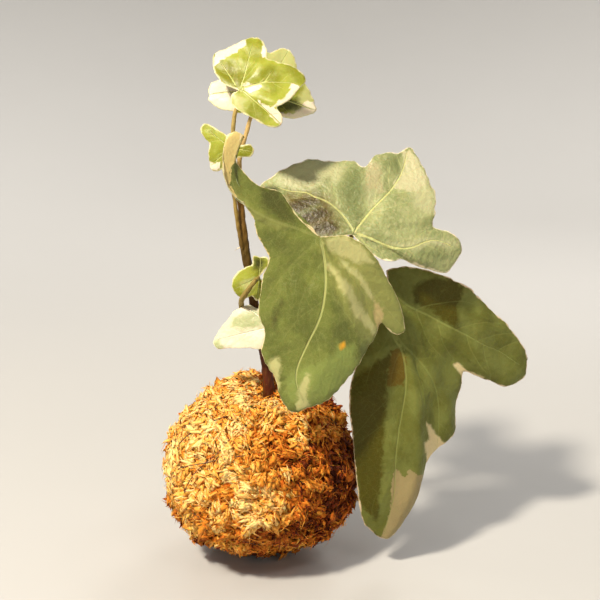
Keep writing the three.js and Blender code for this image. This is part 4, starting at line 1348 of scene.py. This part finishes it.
# %% Mat
MAT_FINENESS = 6  # each step of fineness cuts every triangle in four
HOLLOW_FINENESS = 4
MAT_DEPTH = 0.9  # of the mat below the tops of the tufts
MAT_CLUMPS = (0.2, 1.8)  # height and length of its unevenness
MAT_TONE_WITH_GAP_SHADE = (0.10, 0.16)  # in a gap between tufts, and what is added on top of one
MAT_SHADES = (0.05, 5)  # slow change of tone: tone, wavelength
SOIL_GAP = 0.3  # between the mat and the soil
HOLE_HEIGHTS = (44, 87)  # from inside the soil to above the moss


def ball_mesh(fineness):
    ball = bmesh.new()
    bmesh.ops.create_icosphere(ball, subdivisions=fineness, radius=1)
    directions = np.array([v.co for v in ball.verts])
    faces = np.array([[v.index for v in f.verts] for f in ball.faces])
    ball.free()
    return unit(directions), faces


def cut(piece, corners, faces):
    """Takes a closed shape out of a piece."""
    mesh = bpy.data.meshes.new("cutter")
    mesh.from_pydata((corners * MM).tolist(), [], faces)
    cutter = bpy.data.objects.new("cutter", mesh)
    bpy.context.scene.collection.objects.link(cutter)
    modifier = piece.modifiers.new("cut", "BOOLEAN")
    modifier.operation = "DIFFERENCE"
    modifier.solver = "EXACT"
    modifier.object = cutter
    seen = piece.evaluated_get(bpy.context.evaluated_depsgraph_get())
    result = bpy.data.meshes.new_from_object(seen)
    piece.modifiers.clear()
    piece.data = result
    bpy.data.objects.remove(cutter)


def post(x, y, radius, low, high, sides=24):
    """An upright cylinder as corners and faces."""
    turn = 2 * np.pi * np.arange(sides) / sides
    ring = np.column_stack([x + radius * np.cos(turn), y + radius * np.sin(turn)])
    corners = np.vstack([np.column_stack([ring, np.full(sides, z)]) for z in (low, high)])
    walls = [[i, (i + 1) % sides, sides + (i + 1) % sides, sides + i] for i in range(sides)]
    caps = [list(range(sides))[::-1], list(range(sides, 2 * sides))]
    return corners, [*walls, *caps]


def make_mat():
    directions, faces = ball_mesh(MAT_FINENESS)
    level, _, _, top = moss_level(directions)
    clumps = MAT_CLUMPS[0] * wave(directions * BALL_SCALE, MAT_CLUMPS[1], 32)
    corners = BALL_MIDDLE + directions * (level - MAT_DEPTH + clumps)[:, None]
    corners[:, 2] = np.maximum(corners[:, 2], 0)
    shades = MAT_SHADES[0] * wave(directions * BALL_SCALE, MAT_SHADES[1], 33)
    # painted shade: the mat is darkest in the gaps between tufts
    tone = np.clip(MAT_TONE_WITH_GAP_SHADE[0] + MAT_TONE_WITH_GAP_SHADE[1] * top + shades, 0, 1)
    mat = make_piece("moss_mat", corners, faces, dry_moss, "moss", tone=tone)
    soil_radius = (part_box("soil_ball")[1].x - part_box("soil_ball")[0].x) / MM / 2
    inner, inner_faces = ball_mesh(HOLLOW_FINENESS)
    cut(mat, BALL_MIDDLE + inner * (soil_radius + SOIL_GAP), inner_faces.tolist())
    cut(mat, *post(*STEM_HOLE, *HOLE_HEIGHTS))
    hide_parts("moss_wrap")
    print("moss mat after its cuts:", len(mat.data.polygons), "faces")


make_mat()

# %% [markdown]
# ## Moss flakes
# What makes this ball is its surface: thousands of dry, curled leaflets and strands, most of
# them 3 to 8 mm long. Particles or hair would be quick, but they aren't a mesh that can be
# exported. So every flake is a small closed mesh of 12 triangles: a flat shred with a point at
# each end, bent along its length and uneven in width.
#
# Flakes are spread evenly with the golden angle. Each follows the slope and the direction of
# its tuft, and lifts one end, so that they lie like shingles. Its tone is painted darker in the
# gap beside a tuft than on its top, as shade, and paler on the lit side of the ball, as painted
# light; it is also paler at its own free end.
#
# Six layers share the work. A low dark layer closes the gaps, its dark tone painted shade, broad
# orange shreds give the mass, looser straw-coloured ones on top catch the light, narrow strands
# run between them, small dark specks paint the shade of the holes between flakes, and a few long
# wisps stand out all round.

# %% Flake layers
STAND_PROUD = 2.3  # the most that a flake reaches past the CAD surface
PAINTED_LIGHT_SIDE = (-0.55, -0.45, 0.7)  # the side of the ball painted paler, as the light that falls on it
PATCHES_AND_PAINTED_SHADE = [  # where it is paler or darker than around: middle, degrees, change of tone; the wide dark one on the right side is painted shade
    ((-0.14, -0.75, -0.65), 13, 0.06), ((0.10, -0.97, -0.20), 11, 0.12), ((-0.80, -0.53, -0.27), 14, -0.34),
    ((-0.24, -0.95, 0.17), 8, -0.16), ((0.16, -0.79, 0.59), 9, -0.14), ((0.62, -0.60, 0.50), 16, -0.10),
    ((0.80, -0.55, 0.10), 30, -0.26), ((-0.05, -0.99, 0.02), 24, 0.18),
]
SLOPE_STEP = 0.9  # over which the slope of a tuft is felt
STEEPEST = 1.2  # slope that a flake still follows
OFF_TABLE = 1.0  # no flake is laid lower than this
ROOM_AT_STEM = 0.6  # outside the hole
TURNED_ROUND = 0.35  # share of the flakes that lie the other way
ROLL = 0.2  # how far flakes are rolled about their length, in radians
UNEVEN_LENGTH, UNEVEN_WIDTH, UNEVEN_THICKNESS = 0.35, 0.35, 0.25
UNEVEN_DEPTH = 0.3
ARCH = 0.14  # how far the ends hang below the middle, in half lengths
RIBS_AT = (-0.5, 0.4)  # the two places along a flake that have three corners
UNEVEN_RIB = (0.5, 1.3)  # from the narrowest to the widest, on each side of it
FLAKE_TRIANGLES = [
    [0, 2, 1], [0, 3, 2], [0, 1, 3],
    [1, 2, 5], [1, 5, 4], [2, 3, 6], [2, 6, 5], [3, 1, 4], [3, 4, 6],
    [7, 4, 5], [7, 5, 6], [7, 6, 4],
]
CORNER_TONES = [-0.12, 0, 0, 0.03, 0, 0, 0.03, 0.08]  # from the tied end to the free one
GAP_SHADE_TONE = (0.34, 0.75)  # strength, and the height on a tuft where it is neutral
PAINTED_LIGHT_TONE = (0.5, 0.41)  # strength, and how squarely a place faces the lit side where it is neutral


def clear_of_stem(directions):
    x, y, radius = STEM_HOLE
    away = np.hypot(directions[:, 0] * BALL_RADIUS - x, directions[:, 1] * BALL_RADIUS - y)
    return (directions[:, 2] < 0) | (away > radius + ROOM_AT_STEM)


def tipped(directions, level, *ways):
    """The outward direction at each place, tipped with the slope of lumps and tufts."""
    tip = directions.copy()
    for way in ways:
        ahead = moss_level(unit(directions + SLOPE_STEP / BALL_RADIUS * way))[0]
        tip = tip - np.clip((ahead - level) / SLOPE_STEP, -STEEPEST, STEEPEST)[:, None] * way
    return unit(tip)


def make_flakes(name, count, length, width, thick, lift, sink, tone, seed, unrest=0.5, curl=0.25):
    """Flat pointed shreds all over the ball. Lift raises a flake's free end, sink lowers all of it."""
    random = np.random.default_rng(seed)
    directions = spread(count, random)
    off_table = BALL_MIDDLE[2] + directions[:, 2] * ball_radius(directions) > OFF_TABLE
    directions = directions[clear_of_stem(directions) & off_table]
    count = len(directions)
    level, radius, tuft, top = moss_level(directions)
    east = unit(np.cross([0.05, 0.03, 1.0], directions))
    up = tipped(directions, level, east, np.cross(directions, east))
    east = unit(np.cross(np.cross(up, east), up))
    north = np.cross(up, east)
    turn = tuft_turns[tuft] + random.normal(scale=unrest, size=count)
    turn += math.pi * (random.random(count) < TURNED_ROUND)
    along = np.cos(turn)[:, None] * east + np.sin(turn)[:, None] * north
    across = np.cross(up, along)
    roll = random.normal(scale=ROLL, size=count)[:, None]
    flat = np.cos(roll) * across + np.sin(roll) * up
    thin = np.cos(roll) * up - np.sin(roll) * across

    def varied(mean, by):
        return (mean * np.exp(random.normal(scale=by, size=count)))[:, None]

    reach = varied(length, UNEVEN_LENGTH) / 2
    wide = varied(width, UNEVEN_WIDTH) / 2
    deep = varied(thick, UNEVEN_THICKNESS)
    rise = lift * np.abs(random.normal(size=count))[:, None]
    side = curl * random.normal(size=count)[:, None]
    from_middle = level - sink + UNEVEN_DEPTH * random.normal(size=count)
    middle = BALL_MIDDLE + directions * from_middle[:, None]

    def spine(s):
        """The middle line of every flake, at -1 on its tied end up to 1 on its free end."""
        lifted = rise * (s + 1) / 2 - ARCH * reach * s * s
        return middle + along * reach * s + flat * side * reach * s * s + up * lifted

    corners = [spine(-1.0)]
    for s in RIBS_AT:
        left, right = random.uniform(*UNEVEN_RIB, (2, count, 1))
        centre = spine(s)
        corners.append(centre + flat * wide * left)
        corners.append(centre - flat * wide * right)
        corners.append(centre + thin * deep)
    corners.append(spine(1.0))
    corners = np.stack(corners, 1)
    out = corners - BALL_MIDDLE
    far = np.linalg.norm(out, axis=2, keepdims=True)
    corners = BALL_MIDDLE + out * np.minimum(1, (radius[:, None, None] + STAND_PROUD) / far)
    corners[:, :, 2] = np.maximum(corners[:, :, 2], 0.02)
    first = len(CORNER_TONES) * np.arange(count)
    faces = (np.array(FLAKE_TRIANGLES)[None] + first[:, None, None]).reshape(-1, 3)
    shade = random.normal(tone[0], tone[1], size=count) + tuft_tones[tuft]
    # painted shade: flakes low in the gap between tufts are darker than those on their tops
    shade += GAP_SHADE_TONE[0] * (top - GAP_SHADE_TONE[1])
    # painted light: flakes that face the lit side are paler, those turned away from it darker
    shade += PAINTED_LIGHT_TONE[0] * (np.maximum(directions @ unit(PAINTED_LIGHT_SIDE), 0) - PAINTED_LIGHT_TONE[1])
    # partly painted shade: the wide patch on the right side darkens the moss as the shade there
    for place, degrees, change in PATCHES_AND_PAINTED_SHADE:
        shade += change * nearness(directions, place, degrees)
    tones = (np.clip(shade, 0, 1)[:, None] + np.array(CORNER_TONES)[None]).ravel()
    return make_piece(name, corners.reshape(-1, 3), faces, dry_moss, "moss", tone=tones)


# name, count, length, width, thickness, lift, depth below the tuft, (tone, its spread), seed
# painted shade: the low layer is dark to show the shade deep in the gaps
make_flakes("moss_low_flakes", 7000, 3.4, 1.7, 0.4, 0.2, 0.9, (0.26, 0.08), 51)
make_flakes("moss_main_flakes", 12000, 5.2, 1.9, 0.35, 0.35, 0.3, (0.57, 0.07), 52)
make_flakes("moss_top_flakes", 9000, 5.0, 1.5, 0.3, 0.5, 0.0, (0.70, 0.09), 53, unrest=0.4, curl=0.3)
make_flakes("moss_strands", 4000, 5.6, 0.6, 0.3, 0.9, 0.0, (0.64, 0.12), 56, unrest=0.5, curl=0.5)
# painted shade: small dark specks stand for the holes between the paler flakes
make_flakes("moss_shade_specks", 2600, 1.5, 0.5, 0.3, 0.4, -0.5, (0.02, 0.04), 55, unrest=1.6)
make_flakes("moss_wisps", 1000, 6.0, 0.3, 0.15, 2.0, -0.3, (0.85, 0.12), 54, unrest=1.6, curl=0.6)

# %% [markdown]
# ## Binding thread
# A thin dark thread was wound around the ball to hold the moss, and the flakes have swallowed
# nearly all of it: only short runs show, at the left. Closed loops of a fine tube lie on the
# planes of the CAD loops, just under the tops of the flakes, and come up to the surface in the
# one place where they show.

# %% Thread
THREAD_RADIUS = 0.16
THREAD_LOOPS = [[32, 197], [60, 224], [60, 192], [40, 40]]  # tilt and heading of each loop's plane
THREAD_LIES = 1.3  # below the CAD surface
THREAD_SHOWS = ((-0.68, -0.64, 0.36), 14, 2.7)  # around this place it comes up: middle, degrees, mm
THREAD_STEPS, THREAD_SIDES = 260, 8
TIGHT_OVER = 3  # steps on each side whose highest lump the thread is drawn over
SMOOTH_OVER = 4  # steps on each side that its path is smoothed over
THREAD_WANDER = (0.5, 14)  # to either side of its plane, and the length of that wave


def thread_finish():
    thread = Recipe("dark_thread").set(Roughness=0.7)
    ply = thread.noise(thread.place(), 2600.0, 2.0)
    colour = thread.blend(ply, (0.030, 0.012, 0.006), (0.10, 0.05, 0.03))
    return thread.finish(colour, height=ply, depth=0.1)


def turned(v, tilt, heading):
    tilt, heading = math.radians(tilt), math.radians(heading)
    x = v[0]
    y = v[1] * math.cos(tilt) - v[2] * math.sin(tilt)
    z = v[1] * math.sin(tilt) + v[2] * math.cos(tilt)
    return np.array([
        x * math.cos(heading) - y * math.sin(heading), x * math.sin(heading) + y * math.cos(heading), z,
    ])


def make_thread():
    steps, sides = THREAD_STEPS, THREAD_SIDES
    window = range(-TIGHT_OVER, TIGHT_OVER + 1)
    smooth = np.ones(2 * SMOOTH_OVER + 1) / (2 * SMOOTH_OVER + 1)
    corners, faces = [], []
    for k, (tilt, heading) in enumerate(THREAD_LOOPS):
        axis, start = turned((0, 0, 1), tilt, heading), turned((1, 0, 0), tilt, heading)
        sideways = np.cross(axis, start)
        turn = (2 * np.pi * np.arange(steps) / steps)[:, None]
        outwards = np.cos(turn) * start + np.sin(turn) * sideways
        lumps = ball_radius(outwards)
        tight = np.array([max(lumps[(i + j) % steps] for j in window) for i in range(steps)])
        closed = np.concatenate([tight[-SMOOTH_OVER:], tight, tight[:SMOOTH_OVER]])
        tight = np.convolve(closed, smooth, "valid")
        shown = THREAD_SHOWS[2] * nearness(outwards, *THREAD_SHOWS[:2])
        middle = BALL_MIDDLE + outwards * (tight - THREAD_LIES + shown)[:, None]
        wander = THREAD_WANDER[0] * wave(outwards * BALL_SCALE, THREAD_WANDER[1], 61 + k)
        middle = middle + axis * wander[:, None]
        for side in range(sides):
            angle = 2 * math.pi * side / sides
            corners.append(middle + THREAD_RADIUS * (math.cos(angle) * axis + math.sin(angle) * outwards))
        ring = np.arange(steps)
        after = (ring + 1) % steps
        for side in range(sides):
            a, b = (k * sides + side) * steps, (k * sides + (side + 1) % sides) * steps
            faces.append(np.stack([a + ring, b + ring, b + after, a + after], 1))
    corners = np.vstack(corners)
    corners[:, 2] = np.maximum(corners[:, 2], 0.02)
    thread = make_piece("binding_thread_fine", corners, np.vstack(faces), thread_finish(), "thread")
    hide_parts("binding_thread")


make_thread()

# %% [markdown]
# ## Soil
# The soil ball can't be seen, but it belongs to the object and shows if the moss is taken off.
# The CAD solid has the right shape, so it only gets a finish: dark crumbs with pale specks.

# %% Soil finish
def soil_finish():
    soil = Recipe("root_soil").set(Roughness=0.95)
    crumbs = soil.noise(soil.place(), 420.0, 6.0)
    specks = soil.noise(soil.place(), 1300.0, 2.0)
    tone = soil.blend(crumbs, (0.018, 0.010, 0.006), (0.10, 0.055, 0.03))
    tone = soil.blend(soil.step(specks, 0.66, 0.74), tone, (0.45, 0.38, 0.28))
    return soil.finish(tone, height=crumbs, depth=1.0)


soil_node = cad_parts["soil_ball"]
soil_node.data.materials.clear()
soil_node.data.materials.append(soil_finish())
print("soil_ball keeps its CAD shape")

# %% [markdown]
# ## Closing
